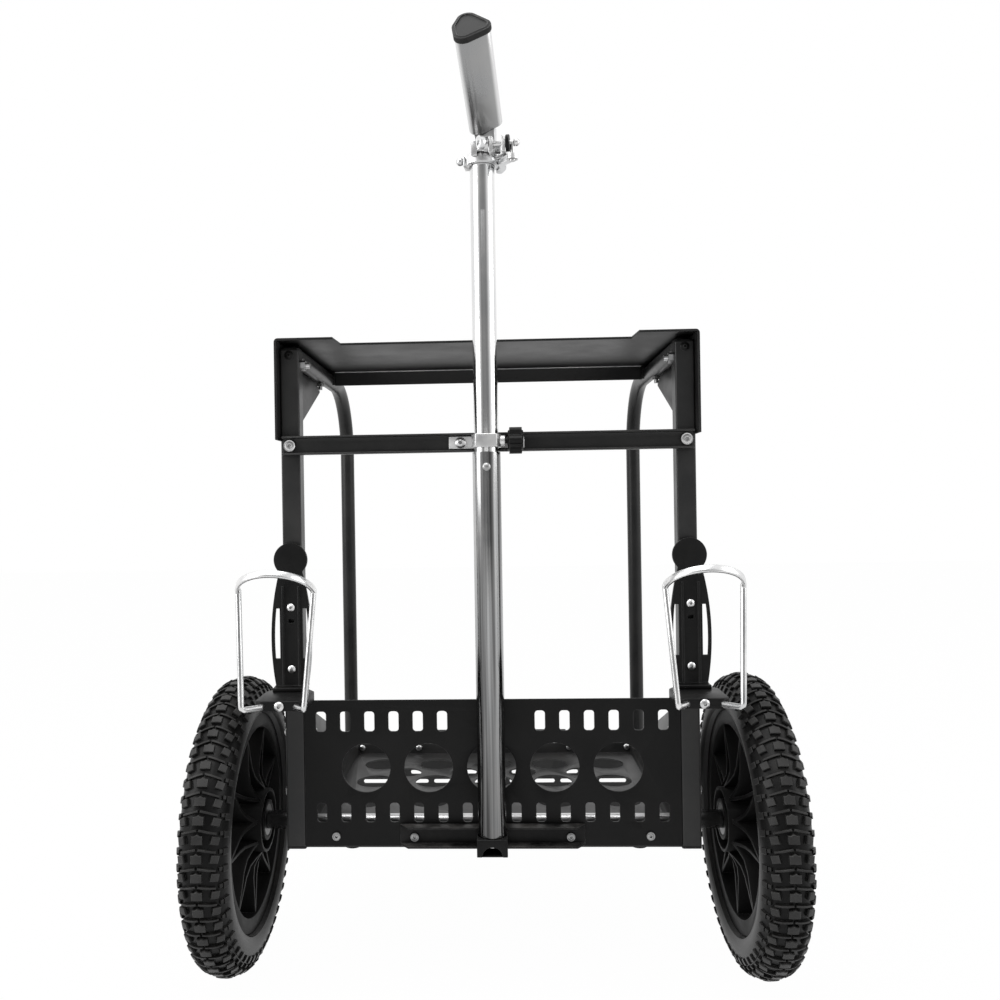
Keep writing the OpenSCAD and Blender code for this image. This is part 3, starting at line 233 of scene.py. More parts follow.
def make_room():
    """White behind the cart and overhead, darker behind the camera, for reflections only."""
    room = bpy.data.worlds.new("studio_room")
    room.use_nodes = True
    tree = room.node_tree
    tree.nodes.clear()
    direction = add_node(tree, "ShaderNodeTexCoord").outputs["Generated"]
    parts = add_node(tree, "ShaderNodeSeparateXYZ", Vector=direction)
    towards_camera = maths(tree, "MULTIPLY", parts.outputs["Y"], -1.0)
    dark = ramp_between(tree, towards_camera, BACK_FROM, BACK_FULL)
    path = add_node(tree, "ShaderNodeLightPath")
    colour = mix_colour(tree, dark, grey(1.0), grey(ROOM_BACK))
    colour = mix_colour(tree, path.outputs["Is Camera Ray"], colour, grey(1.0))
    bright = add_node(tree, "ShaderNodeBackground", Color=colour, Strength=1.0)
    soft = add_node(tree, "ShaderNodeBackground", Color=grey(1.0), Strength=ROOM_LIGHT)
    mix_to_output(tree, seen_directly(tree), soft, bright, "ShaderNodeOutputWorld")
    return room


scene.world = make_room()
scene.view_settings.view_transform = "Standard"
print("room light", ROOM_LIGHT)

# %% [markdown]
# ## Lamps
# Three large soft boxes are enough: one overhead that lights the tops of the tyres and the sheet edges, and
# one on each side that draws the long bright lines down the tubes.

# %% Soft boxes
def soft_box(name, place, aim, size, power):
    """A square area lamp that points at a place."""
    lamp = bpy.data.lights.new(name, "AREA")
    lamp.shape = "SQUARE"
    lamp.size = size
    lamp.energy = power
    holder = bpy.data.objects.new(name, lamp)
    holder.location = place
    turn = (Vector(aim) - Vector(place)).to_track_quat("-Z", "Y")
    holder.rotation_euler = turn.to_euler()
    scene.collection.objects.link(holder)


soft_box("box_overhead", (-0.3, -0.5, 2.3), aim=(0, 0, 0.4), size=1.8, power=34)
soft_box("box_left", (-2.0, -0.9, 1.1), aim=(0, 0, 0.45), size=1.3, power=20)
soft_box("box_right", (2.1, -0.5, 1.3), aim=(0, 0, 0.45), size=1.3, power=15)
print("three soft boxes")

# %% [markdown]
# ## Surface effects
# Some things happen to many finishes: paint has a fine skin like orange peel, edges are painted bright,
# partly as rubbed wear and partly as a painted highlight, dust lies on upward faces, closed-in corners get
# painted shade, and drawn or brushed metal has fine lines along it. Each is built once as a node group with
# named inputs and outputs, and each finish sets its own amounts.

# %% A helper for effect groups
def new_effect(name, inputs, outputs):
    """An empty node group with float or vector sockets."""
    group = bpy.data.node_groups.new(name, "ShaderNodeTree")
    for label, kind, value in inputs:
        socket = group.interface.new_socket(label, in_out="INPUT", socket_type=kind)
        if value is not None:
            socket.default_value = value
    for label in outputs:
        group.interface.new_socket(label, in_out="OUTPUT", socket_type="NodeSocketFloat")
    start = group.nodes.new("NodeGroupInput")
    end = group.nodes.new("NodeGroupOutput")
    return group, start, end


def use_effect(tree, group, **values):
    """Places an effect group in a finish."""
    node = tree.nodes.new("ShaderNodeGroup")
    node.node_tree = group
    for name, value in values.items():
        join_up(tree, value, node.inputs[name.replace("_", " ")])
    return node


NUMBER, ARROW = "NodeSocketFloat", "NodeSocketVector"


# %% Skin: the fine grain of paint, moulded plastic and cast metal
def make_skin():
    """Two sizes of soft noise: a height for the bump and a slow shade for colour and gloss."""
    group, start, end = new_effect("surface_skin", [("Grain", NUMBER, 600.0), ("Cloud", NUMBER, 14.0)],
                                   ["Height", "Shade"])
    place = object_place(group)
    fine = noise(group, place, Scale=start.outputs["Grain"], Detail=3.0, Roughness=0.55)
    slow = noise(group, place, Scale=start.outputs["Cloud"], Detail=4.0, Roughness=0.6)
    join_up(group, fine, end.inputs["Height"])
    join_up(group, ramp_between(group, slow, 0.3, 0.7), end.inputs["Shade"])
    return group


skin_effect = make_skin()
print("effect", skin_effect.name)


# %% Rubbed edges and painted edge highlights
def make_edge_wear_and_highlight():
    """Finds convex edges by comparing the surface with a rounded copy of itself, broken up by noise; the mask
    marks both rubbed wear and painted highlights.
    """
    group, start, end = new_effect("edge_rub", [("Width", NUMBER, 0.0012), ("Patches", NUMBER, 60.0)],
                                   ["Rub"])
    rounded = add_node(group, "ShaderNodeBevel", samples=4, Radius=start.outputs["Width"])
    flat = add_node(group, "ShaderNodeNewGeometry")
    dot = add_node(group, "ShaderNodeVectorMath", operation="DOT_PRODUCT")
    join_up(group, rounded.outputs["Normal"], dot.inputs[0])
    join_up(group, flat.outputs["Normal"], dot.inputs[1])
    edge = maths(group, "SUBTRACT", 1.0, dot.outputs["Value"], clamp=True)
    edge = ramp_between(group, edge, 0.01, 0.22)
    patches = noise(group, object_place(group), Scale=start.outputs["Patches"], Detail=3.0)
    broken = ramp_between(group, patches, 0.38, 0.62, 0.25, 1.0)
    join_up(group, maths(group, "MULTIPLY", edge, broken), end.inputs["Rub"])
    return group


edge_wear_and_highlight_effect = make_edge_wear_and_highlight()
print("effect", edge_wear_and_highlight_effect.name)


# %% Dust on upward faces
def make_dust():
    """More on faces that look up, in soft patches with fine specks."""
    group, start, end = new_effect("settled_dust", [("Amount", NUMBER, 1.0)], ["Dust"])
    up = ramp_between(group, facing(group, "Z"), 0.1, 1.0, 0.12, 1.0)
    patch = noise(group, object_place(group), Scale=22.0, Detail=6.0, Roughness=0.65)
    soft = ramp_between(group, patch, 0.35, 0.75)
    dust = maths(group, "MULTIPLY", maths(group, "MULTIPLY", up, soft), start.outputs["Amount"])
    join_up(group, dust, end.inputs["Dust"])
    return group


dust_effect = make_dust()
print("effect", dust_effect.name)


# %% Painted shade in closed-in places
def make_corner_shade():
    """1 on open faces and 0 deep in sockets, seams and corners, a mask for painted shade where little light
    gets in.
    """
    group, start, end = new_effect("closed_in", [("Reach", NUMBER, 0.004)], ["Open"])
    around = add_node(group, "ShaderNodeAmbientOcclusion", samples=4, Distance=start.outputs["Reach"])
    join_up(group, ramp_between(group, around.outputs["AO"], 0.2, 0.8), end.inputs["Open"])
    return group


corner_shade_effect = make_corner_shade()
print("effect", corner_shade_effect.name)


# %% Lines drawn along metal
def make_drawn_lines():
    """Noise stretched along Z of the given place, for drawn tube and brushed metal."""
    inputs = [("Place", ARROW, None), ("Fineness", NUMBER, 900.0), ("Stretch", NUMBER, 0.012)]
    group, start, end = new_effect("drawn_lines", inputs, ["Lines", "Bands"])
    parts = add_node(group, "ShaderNodeSeparateXYZ", Vector=start.outputs["Place"])
    along = maths(group, "MULTIPLY", parts.outputs["Z"], start.outputs["Stretch"])
    joined = add_node(group, "ShaderNodeCombineXYZ", X=parts.outputs["X"], Y=parts.outputs["Y"], Z=along)
    fine = noise(group, joined.outputs[0], Scale=start.outputs["Fineness"], Detail=2.0)
    broad = noise(group, joined.outputs[0], Scale=190.0, Detail=2.0)
    join_up(group, fine, end.inputs["Lines"])
    join_up(group, ramp_between(group, broad, 0.36, 0.64), end.inputs["Bands"])
    return group


lines_effect = make_drawn_lines()
print("effect", lines_effect.name)

# %% [markdown]
# ## Painted, moulded and rubber finishes
# All but one are dark. What tells them apart is gloss and grain: powder coat has a soft sheen and a fine
# peel, moulded plastic is a little duller with a finer grain, and rubber is matt. The rear panel and the
# pole's bracket have a darker copy of the powder coat, as painted shade. The light one is a painted highlight
# along the seat's front bend.

# %% Paint, plastic and rubber
def start_finish(name):
    """A material with one Principled shader, and its tree."""
    finish = bpy.data.materials.new(name)
    finish.use_nodes = True
    tree = finish.node_tree
    return finish, tree, tree.nodes["Principled BSDF"]


def give_bump(tree, shader, height, distance):
    """Feeds a height to the shader's normal."""
    bump = add_node(tree, "ShaderNodeBump", Strength=0.5, Distance=distance, Height=height)
    join_up(tree, bump.outputs["Normal"], shader.inputs["Normal"])


SHADE_SPREAD = 0.25


def dark_finish(name, base, gloss, grain=900.0, bump=0.00012, *, shine, rub=0.0, dust=0.0, rub_to=0.12,
                reach=0.010):
    """Paint, plastic or rubber: a base with grain, slow shade, edges lightened as rubbed wear and painted
    highlight, painted shade in corners, and dust.
    """
    finish, tree, shader = start_finish(name)
    shader.inputs["Specular IOR Level"].default_value = shine
    skin = use_effect(tree, skin_effect, Grain=grain, Cloud=16.0)
    shade = skin.outputs["Shade"]
    colour = mix_colour(tree, shade, grey(base * (1 - SHADE_SPREAD), -0.02),
                        grey(base * (1 + SHADE_SPREAD), 0.02))
    if rub:
        # Edges are painted lighter: partly rubbed wear, partly painted highlight.
        edge = use_effect(tree, edge_wear_and_highlight_effect, Width=0.0011, Patches=70.0).outputs["Rub"]
        colour = mix_colour(tree, maths(tree, "MULTIPLY", edge, rub), colour, grey(rub_to))
    # Painted shade in closed-in places.
    corner_unshaded = use_effect(tree, corner_shade_effect, Reach=reach).outputs["Open"]
    colour = mix_colour(tree, corner_unshaded, grey(base * 0.2), colour)
    rough = maths(tree, "ADD", maths(tree, "MULTIPLY", shade, 0.10), gloss - 0.05)
    if dust:
        fall = use_effect(tree, dust_effect, Amount=dust).outputs["Dust"]
        colour = mix_colour(tree, fall, colour, grey(0.17, 0.04))
        rough = maths(tree, "ADD", rough, maths(tree, "MULTIPLY", fall, 0.35), clamp=True)
    join_up(tree, colour, shader.inputs["Base Color"])
    join_up(tree, rough, shader.inputs["Roughness"])
    give_bump(tree, shader, skin.outputs["Height"], bump)
    return finish


powder_coat = dark_finish("powder_coat", 0.017, 0.38, rub=0.35, dust=0.05, shine=0.36)
leg_coat = dark_finish("tube_coat", 0.015, 0.33, 700.0, 0.00010, rub=0.2, dust=0.04, shine=0.24)
# The rear panel's darker copy of the powder coat is painted shade.
panel_coat = dark_finish("panel_coat", 0.0055, 0.40, rub=0.5, dust=0.02, shine=0.15)
black_plastic = dark_finish("moulded_black", 0.006, 0.40, 1500.0, 0.00010, rub=0.5, dust=0.02, rub_to=0.14,
                            shine=0.15)
rim_plastic = dark_finish("wheel_black", 0.005, 0.48, 1200.0, 0.00007, rub=0.45, dust=0.02, rub_to=0.09,
                          shine=0.07)
seat_coat = dark_finish("seat_coat", 0.011, 0.40, rub=0.35, dust=0.04, shine=0.26)
cap_plastic = dark_finish("cap_plastic", 0.022, 0.55, 1500.0, 0.00010, rub=0.9, rub_to=0.20, shine=0.10)
# The bracket's darker base is painted shade, its heavy dust lightens its upward faces as painted light, and
# its edges carry strong painted highlights.
bracket_coat = dark_finish("bracket_coat", 0.0055, 0.40, rub=0.9, dust=0.5, rub_to=0.16, shine=0.15)
# A light finish for the bar in the seat's front bend: a painted highlight.
bend_highlight = dark_finish("worn_bend", 0.60, 0.30, 700.0, 0.00005, shine=0.5, reach=0.0005)
foot_rubber = dark_finish("foot_rubber", 0.016, 0.72, 800.0, 0.00020, rub=0.3, dust=0.12, shine=0.2)
spacer_gloss = dark_finish("spacer_gloss", 0.016, 0.20, 1400.0, 0.00003, rub=0.2, dust=0.03, shine=0.45)
print("finishes", powder_coat.name, black_plastic.name, rim_plastic.name)

# %% [markdown]
# ## Tyre rubber
# The tread's tops have touched the ground and are paler than the grooves. The tyre's mesh carries a number
# on every vertex: on the tread it says how worn it is and grows with the height above the casing, and on
# the wall it has a fixed least value that paints a sheen on the wall. The finish reads it.

# %% Tyre finish
def tyre_finish():
    """Rubber that goes from black in the grooves to worn grey on the tops, with a painted sheen on the wall,
    painted highlights on block edges and painted shade in corners.
    """
    finish, tree, shader = start_finish("tyre_rubber")
    shader.inputs["Specular IOR Level"].default_value = 0.12
    skin = use_effect(tree, skin_effect, Grain=700.0, Cloud=30.0)
    height = add_node(tree, "ShaderNodeAttribute", attribute_name="tread_height")
    top = ramp_between(tree, height.outputs["Fac"], 0.25, 0.95)
    patchy = maths(tree, "ADD", maths(tree, "MULTIPLY", skin.outputs["Shade"], 0.4), 0.6)
    wear_and_wall_sheen = maths(tree, "MULTIPLY", top, patchy)
    colour = mix_colour(tree, wear_and_wall_sheen, grey(0.004), grey(0.036, 0.01))
    # Painted highlights on the block edges.
    edge = use_effect(tree, edge_wear_and_highlight_effect, Width=0.0012, Patches=120.0).outputs["Rub"]
    colour = mix_colour(tree, maths(tree, "MULTIPLY", edge, 0.45), colour, grey(0.08, 0.02))
    # Painted shade in the grooves and in the corners between blocks.
    corner_unshaded = use_effect(tree, corner_shade_effect, Reach=0.006).outputs["Open"]
    colour = mix_colour(tree, corner_unshaded, grey(0.001), colour)
    fall = use_effect(tree, dust_effect, Amount=0.10).outputs["Dust"]
    colour = mix_colour(tree, fall, colour, grey(0.16, 0.05))
    join_up(tree, colour, shader.inputs["Base Color"])
    join_up(tree, maths(tree, "ADD", maths(tree, "MULTIPLY", wear_and_wall_sheen, 0.06), 0.34), shader.inputs["Roughness"])
    give_bump(tree, shader, skin.outputs["Height"], 0.0002)
    return finish


tyre_rubber = tyre_finish()
print("finish", tyre_rubber.name)

# %% [markdown]
# ## Metal finishes
# The pole is polished aluminium with faint drawn lines. The grip is the same metal with a satin anodised
# skin. Castings and plates are bare and a little rough, and most screws are bright zinc.

# %% Metals
def metal_finish(name, base, gloss, lines=0.0, turn=(0.0, 0.0, 0.0), fineness=900.0, bump=0.00002,
                 spread=0.06, dull=0.0, band=0.0, band_to=0.55, fade=None, sides=None):
    """Metal with drawn lines, stains, rubbed edges with painted highlights and painted shade in closed-in
    places; it may get painted shade towards the bottom and a painted sheen on its sides.
    """
    finish, tree, shader = start_finish(name)
    shader.inputs["Metallic"].default_value = 1.0
    place = object_place(tree)
    turned = add_node(tree, "ShaderNodeMapping", Vector=place, Rotation=turn)
    drawn = use_effect(tree, lines_effect, Place=turned.outputs["Vector"], Fineness=fineness)
    skin = use_effect(tree, skin_effect, Grain=1300.0, Cloud=26.0)
    colour = mix_colour(tree, skin.outputs["Shade"], grey(base * (1 - spread), -0.008), grey(base, 0.004))
    if band:
        streaks = maths(tree, "MULTIPLY", drawn.outputs["Bands"], band)
        colour = mix_colour(tree, streaks, colour, grey(base * band_to))
    # Painted shade: the colour darkens towards the bottom.
    if fade:
        low, high, darkest = fade
        height = add_node(tree, "ShaderNodeSeparateXYZ", Vector=place)
        kept = ramp_between(tree, height.outputs["Z"], low, high, darkest, 1.0)
        scale = add_node(tree, "ShaderNodeVectorMath", operation="SCALE", Vector=colour, Scale=kept)
        colour = scale.outputs[0]
    # A painted sheen on the faces that look sideways.
    if sides:
        sideways = maths(tree, "ABSOLUTE", facing(tree, "X"))
        colour = mix_colour(tree, ramp_between(tree, sideways, 0.45, 0.9), colour, grey(sides))
    # Painted shade in closed-in places.
    corner_unshaded = use_effect(tree, corner_shade_effect, Reach=0.003).outputs["Open"]
    colour = mix_colour(tree, corner_unshaded, grey(base * 0.10), colour)
    # Edges are painted lighter: partly rubbed wear, partly painted highlight.
    edge = use_effect(tree, edge_wear_and_highlight_effect, Width=0.0008, Patches=90.0).outputs["Rub"]
    colour = mix_colour(tree, maths(tree, "MULTIPLY", edge, 0.4), colour, grey(min(base * 1.25, 0.95)))
    rough = maths(tree, "MULTIPLY", drawn.outputs["Lines"], lines * 0.3)
    rough = maths(tree, "ADD", rough, gloss - lines * 0.15)
    rough = maths(tree, "ADD", rough, maths(tree, "MULTIPLY", skin.outputs["Shade"], 0.05 + dull), clamp=True)
    join_up(tree, colour, shader.inputs["Base Color"])
    join_up(tree, rough, shader.inputs["Roughness"])
    height = drawn.outputs["Lines"] if lines else skin.outputs["Height"]
    give_bump(tree, shader, height, bump)
    return finish


# At rest the grip leans back from upright, and the head that carries it is turned a little about the pole.
GRIP_TILT, HEAD_TURN = math.radians(57.0), math.radians(-7.5)
along_grip = tuple((Matrix.Rotation(-GRIP_TILT, 3, "X") @ Matrix.Rotation(-HEAD_TURN, 3, "Z")).to_euler())
polished_tube = metal_finish("polished_tube", 0.86, 0.13, lines=0.5, band=0.25)
# The lower tube gets painted shade towards its bottom.
lower_tube = metal_finish("polished_lower_tube", 0.50, 0.13, lines=0.5, band=0.95, band_to=0.22,
                          fade=(0.05, 0.50, 0.35), fineness=500.0)
# The grip's paler sides are a painted sheen.
grip_satin = metal_finish("grip_satin", 0.32, 0.27, lines=0.4, turn=along_grip, bump=0.00003, sides=0.72)
bare_metal = metal_finish("bare_cast", 0.80, 0.30, bump=0.00006, spread=0.14, dull=0.1)
rod_metal = metal_finish("bright_rod", 0.86, 0.24, spread=0.3)
bright_zinc = metal_finish("bright_zinc", 0.70, 0.27, spread=0.18, dull=0.06)
dull_zinc = metal_finish("dull_zinc", 0.40, 0.33, spread=0.25, dull=0.08)
dark_steel = metal_finish("dark_steel", 0.16, 0.30, spread=0.2, dull=0.1)
print("metals", polished_tube.name, grip_satin.name, bare_metal.name)

# %% [markdown]
# ## Dressing the solids
# Where a solid already has the right shape, it keeps it, and only takes a finish. This table says which
# finish each solid has on the real cart.

# %% Give every solid its finish
finish_groups = (
    (powder_coat, "rear_post crossbar floor_tray front_panel"), (seat_coat, "seat_pan"),
    (panel_coat, "rear_panel"), (bracket_coat, "pole_bracket"), (leg_coat, "leg_tube"),
    (black_plastic, "post_top_caps rail_end_plugs rail_end_screws pole_socket pole_foot_plug"),
    (black_plastic, "clamp_knob cam_washer cage_backbone cage_shelf"), (cap_plastic, "grip_end_cap"),
    (foot_rubber, "post_end_caps leg_feet inner_tube"), (tyre_rubber, "tyre"), (rim_plastic, "wheel_rim"),
    (spacer_gloss, "axle_spacers"), (lower_tube, "pole_outer_tube"), (polished_tube, "pole_inner_tube"),
    (grip_satin, "handle_grip"), (rod_metal, "cage_hoop rail_bolts"), (dull_zinc, "lock_button"),
    (bare_metal, "clamp_saddle head_collar grip_bracket quick_release_lever"), (dark_steel, "wheel_bearings"),
)
finish_of = {node: finish for finish, group in finish_groups for node in group.split()}


def finish_for(node):
    """The finish of a node; both sides share one, and what isn't in the table is bright zinc."""
    plain = node.replace("_left", "").replace("_right", "")
    return finish_of.get(plain, bright_zinc)


def put_on(obj, finish):
    """Gives all of an object's slots one finish."""
    if not obj.material_slots:
        obj.data.materials.append(finish)
    for slot in obj.material_slots:
        slot.material = finish


for name, obj in nodes.items():
    put_on(obj, finish_for(name))
print("dressed", len(nodes), "solids")

# %% [markdown]
# ## Softening sheet, castings and mouldings
# No real edge is perfectly sharp. Paint rounds a cut sheet and a mould leaves a small radius, and these
# edges catch the light that makes a dark object readable. A copy of the solid is merged, its flat faces are
# joined, and a bevel rounds every sharp edge that is long enough to carry it.

# %% Helpers for modelling
def go_to(mode):
    """Switches to edit mode or object mode."""
    bpy.ops.object.mode_set(mode=mode)


def only(obj):
    """Selects one object alone."""
    if bpy.context.object and bpy.context.object.mode != "OBJECT":
        go_to("OBJECT")
    bpy.ops.object.select_all(action="DESELECT")
    obj.select_set(True)
    bpy.context.view_layer.objects.active = obj


def edit_all():
    """Enters edit mode with the whole mesh selected."""
    go_to("EDIT")
    bpy.ops.mesh.select_all(action="SELECT")


def merge_and_face_out(distance):
    """Merges doubled vertices of the whole mesh and turns its faces outwards."""
    edit_all()
    bpy.ops.mesh.remove_doubles(threshold=distance)
    bpy.ops.mesh.normals_make_consistent(inside=False)
    go_to("OBJECT")


def smooth(degrees=32.0):
    """Shades the selected object smooth, apart from edges sharper than an angle."""
    bpy.ops.object.shade_smooth_by_angle(angle=math.radians(degrees))


def bring_to_origin(obj):
    """Moves an object's place into its mesh."""
    only(obj)
    bpy.ops.object.transform_apply(location=True, rotation=True, scale=True)


def apply_all(obj):
    """Applies every modifier in order."""
    only(obj)
    for modifier in list(obj.modifiers):
        bpy.ops.object.modifier_apply(modifier=modifier.name)


def body_of_node(node):
    """The name of the body that a solid rides on."""
    for body, carried in frame["record"]["behaviour"]["bodies"].items():
        if node in carried:
            return body
    return "root"


SHARP_ANGLE = math.radians(28.0)
FLAT_ANGLE = math.radians(0.6)
SHORTEST_EDGE = 0.5 * MM
MERGE = 0.02 * MM


def soften(node, width):
    """A bevelled copy of a solid that takes its place."""
    obj = bpy.data.objects.new(node + "_soft", nodes[node].data.copy())
    scene.collection.objects.link(obj)
    only(obj)
    edit_all()
    bpy.ops.mesh.remove_doubles(threshold=MERGE)
    bpy.ops.mesh.dissolve_limited(angle_limit=FLAT_ANGLE)
    go_to("OBJECT")
    weights = obj.data.attributes.new("bevel_weight_edge", "FLOAT", "EDGE")
    points = obj.data.vertices
    normals = {}
    for face in obj.data.polygons:
        for key in face.edge_keys:
            normals.setdefault(key, []).append(face.normal)
    for edge, weight in zip(obj.data.edges, weights.data):
        pair = normals.get(edge.key, [])
        sharp = len(pair) == 2 and pair[0].angle(pair[1], 0.0) > SHARP_ANGLE
        length = (points[edge.vertices[0]].co - points[edge.vertices[1]].co).length
        weight.value = 1.0 if sharp and length > SHORTEST_EDGE else 0.0
    bevel = obj.modifiers.new("soft_edge", "BEVEL")
    bevel.width = width
    bevel.segments = 2
    bevel.limit_method = "WEIGHT"
    bevel.use_clamp_overlap = False
    apply_all(obj)
    smooth()
    put_on(obj, finish_for(node))
    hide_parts(node)
    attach(obj, body_of_node(node))
    return obj


def soften_all(widths):
    """Softens each named solid by a width in mm."""
    for node, width in widths.items():
        made = soften(node, width * MM)
        print("softened", node, len(made.data.polygons), "faces")


print("modelling helpers ready")

# %% Soften the sheet metal
soften_all({
    "seat_pan": 0.5, "rear_panel": 0.45, "floor_tray": 0.45, "front_panel": 0.45, "crossbar": 0.45,
    "pole_bracket": 0.45,
})

# %% [markdown]
# ## Mouldings, castings and fasteners
# Moulded plastic has larger radii than cut sheet, and a turned screw head has a small one. The same step is
# used with other widths.

# %% Soften the mouldings, castings and fasteners
soften_all({
    "post_top_caps": 0.8, "post_end_caps": 0.8, "leg_feet": 1.2, "pole_socket": 0.8, "clamp_knob": 0.8,
    "cam_washer": 0.5, "grip_end_cap": 1.1, "cage_backbone_left": 0.5, "cage_backbone_right": 0.5,
    "cage_shelf_left": 1.2, "cage_shelf_right": 1.2, "wheel_rim_left": 0.4, "wheel_rim_right": 0.4,
    "axle_spacers": 0.5, "axle_nuts": 0.5, "clamp_saddle": 0.5, "head_collar": 0.5, "grip_bracket": 0.5,
    "quick_release_lever": 0.9, "handle_grip": 0.3,
})

# %% [markdown]
# ## Tyres: the casing
# A pneumatic tyre is a hollow horseshoe in section. A circle of vertices is opened over the rim, its two
# ends are drawn in to the beads, and the line is spun round the axle and given the thickness of the rubber.

# %% Spin the casings
KNOB_H = 3.5 * MM
PITCHES = 56
casing_r = 24.0 * MM
section_mid = tyre_r - KNOB_H - casing_r
rim_low, rim_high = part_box("wheel_rim_left")
flange_r = (rim_high[2] - rim_low[2]) / 2
RUBBER = 2.4 * MM
CUT_OVER_RIM = 0.6 * MM
BEAD_OUT, BEAD_OVER_RIM = 17.2 * MM, 0.4 * MM
BEAD_IN, BEAD_DOWN = 2.7 * MM, 6.6 * MM


def choose_nothing(obj):
    """In object mode, clears what is selected in a mesh."""
    for part in (obj.data.vertices, obj.data.edges, obj.data.polygons):
        for item in part:
            item.select = False


def choose(obj, test):
    """Selects the vertices that pass a test and nothing else, and enters edit mode."""
    go_to("OBJECT")
    choose_nothing(obj)
    for vertex in obj.data.vertices:
        vertex.select = bool(test(vertex.co))
    go_to("EDIT")
    bpy.ops.mesh.select_mode(type="VERT")


def spin_casing(side):
    """The smooth horseshoe under the tread."""
    mid = wheel_mid[side]
    bpy.ops.mesh.primitive_circle_add(vertices=56, radius=casing_r, fill_type="NOTHING",
                                      location=(mid.x, mid.y, mid.z + section_mid),
                                      rotation=(math.pi / 2, 0, 0))
    casing = bpy.context.object
    casing.name = "tyre_casing_" + side
    bring_to_origin(casing)
    choose(casing, lambda p: p.z < mid.z + flange_r + CUT_OVER_RIM)
    bpy.ops.mesh.delete(type="VERT")
    for way in (-1, 1):
        bpy.ops.mesh.select_all(action="DESELECT")
        go_to("OBJECT")
        lowest = min((v for v in casing.data.vertices if way * (v.co.x - mid.x) > 0), key=lambda v: v.co.z)
        bead = Vector((mid.x + way * BEAD_OUT, mid.y, mid.z + flange_r + BEAD_OVER_RIM))
        steps = (bead - lowest.co, (-way * BEAD_IN, 0, 0), (0, 0, -BEAD_DOWN))
        lowest.select = True
        go_to("EDIT")
        for step in steps:
            bpy.ops.mesh.extrude_region_move(TRANSFORM_OT_translate={"value": step})
    edit_all()
    bpy.ops.mesh.spin(steps=2 * PITCHES, angle=2 * math.pi, center=mid, axis=(1, 0, 0))
    merge_and_face_out(MERGE)
    top = max(casing.data.polygons, key=lambda f: f.center.z)
    if top.normal.z < 0:
        edit_all()
        bpy.ops.mesh.flip_normals()
        go_to("OBJECT")
    wall = casing.modifiers.new("rubber", "SOLIDIFY")
    wall.thickness = RUBBER
    wall.offset = -1.0
    apply_all(casing)
    return casing


casings = {side: spin_casing(side) for side in SIDES}
print("casings", [len(c.data.polygons) for c in casings.values()], "faces each")

# %% [markdown]
# ## Tyres: the tread
# One pitch of the tread is modelled flat on the bench: a centre block with a pointed nose, and on each side
# a low slanted ridge, a shoulder block and two lugs further down the side. It is then rolled on to the
# casing and repeated round the axle.

# %% One flat pitch of tread
pitch_r = tyre_r - 3.0 * MM
SINK = 0.9 * MM
TOP_SHRINK = (0.9, 0.86, 1.0)
TOP_BEVEL = 0.35 * MM
LEAN = math.radians(13)
NOSE = 1.7 * MM
# In mm: place across and along, height, size across and along; then the cuts, and 1 if the block leans.
SIDE_BLOCKS = {
    "ridge": (8.7, 5.2, 2.6, 17.2, 2.3, 4, 1), "shoulder": (15.4, -2.6, 3.6, 7.6, 8.0, 2, 1),
    "wall_lug": (27.5, 2.5, 2.0, 7.0, 7.2, 2, 0), "small_lug": (21.6, 3.8, 2.2, 3.6, 4.2, 1, 0),
}


def tread_block(across, along, height, size, cuts, slant=0.0, nose=0.0):
    """A block on the flat bench, tapered to its top, with a bevelled top edge; it may have a pointed nose."""
    wide, long = size
    bpy.ops.mesh.primitive_cube_add(size=1.0, location=(0, 0, (height - SINK) / 2),
                                    scale=(wide, long, height + SINK))
    block = bpy.context.object
    bring_to_origin(block)
    for i in range(cuts):
        edit_all()
        place = wide * ((i + 1) / (cuts + 1) - 0.5)
        bpy.ops.mesh.bisect(plane_co=(place, 0, 0), plane_no=(1, 0, 0))
    if nose:
        choose(block, lambda p: p.y > 0 and abs(p.x) < wide * 0.1)
        bpy.ops.transform.translate(value=(0, nose, 0))
    choose(block, lambda p: p.z > 0)
    bpy.ops.transform.resize(value=TOP_SHRINK, center_override=(0, 0, height))
    bpy.ops.mesh.region_to_loop()
    bpy.ops.mesh.bevel(offset=TOP_BEVEL, segments=1, affect="EDGES")
    go_to("OBJECT")
    block.rotation_euler.z = slant
    block.location = (across, along, 0)
    bring_to_origin(block)
    return block


def flat_pitch():
    """All the blocks of one pitch, joined."""
    parts = [tread_block(0, -1.6 * MM, KNOB_H, (10 * MM, 8.4 * MM), cuts=3, nose=NOSE)]
    for way in (-1, 1):
        for across, along, height, wide, long, cuts, leans in SIDE_BLOCKS.values():
            parts.append(tread_block(way * across * MM, along * MM, height * MM, (wide * MM, long * MM), cuts,
                                     slant=-way * LEAN * leans))
    only(parts[0])
    for part in parts[1:]:
        part.select_set(True)
    bpy.ops.object.join()
    return bpy.context.object


pitch = flat_pitch()
print("one pitch", len(pitch.data.polygons), "faces, length", round(2 * math.pi * pitch_r / PITCHES, 5))

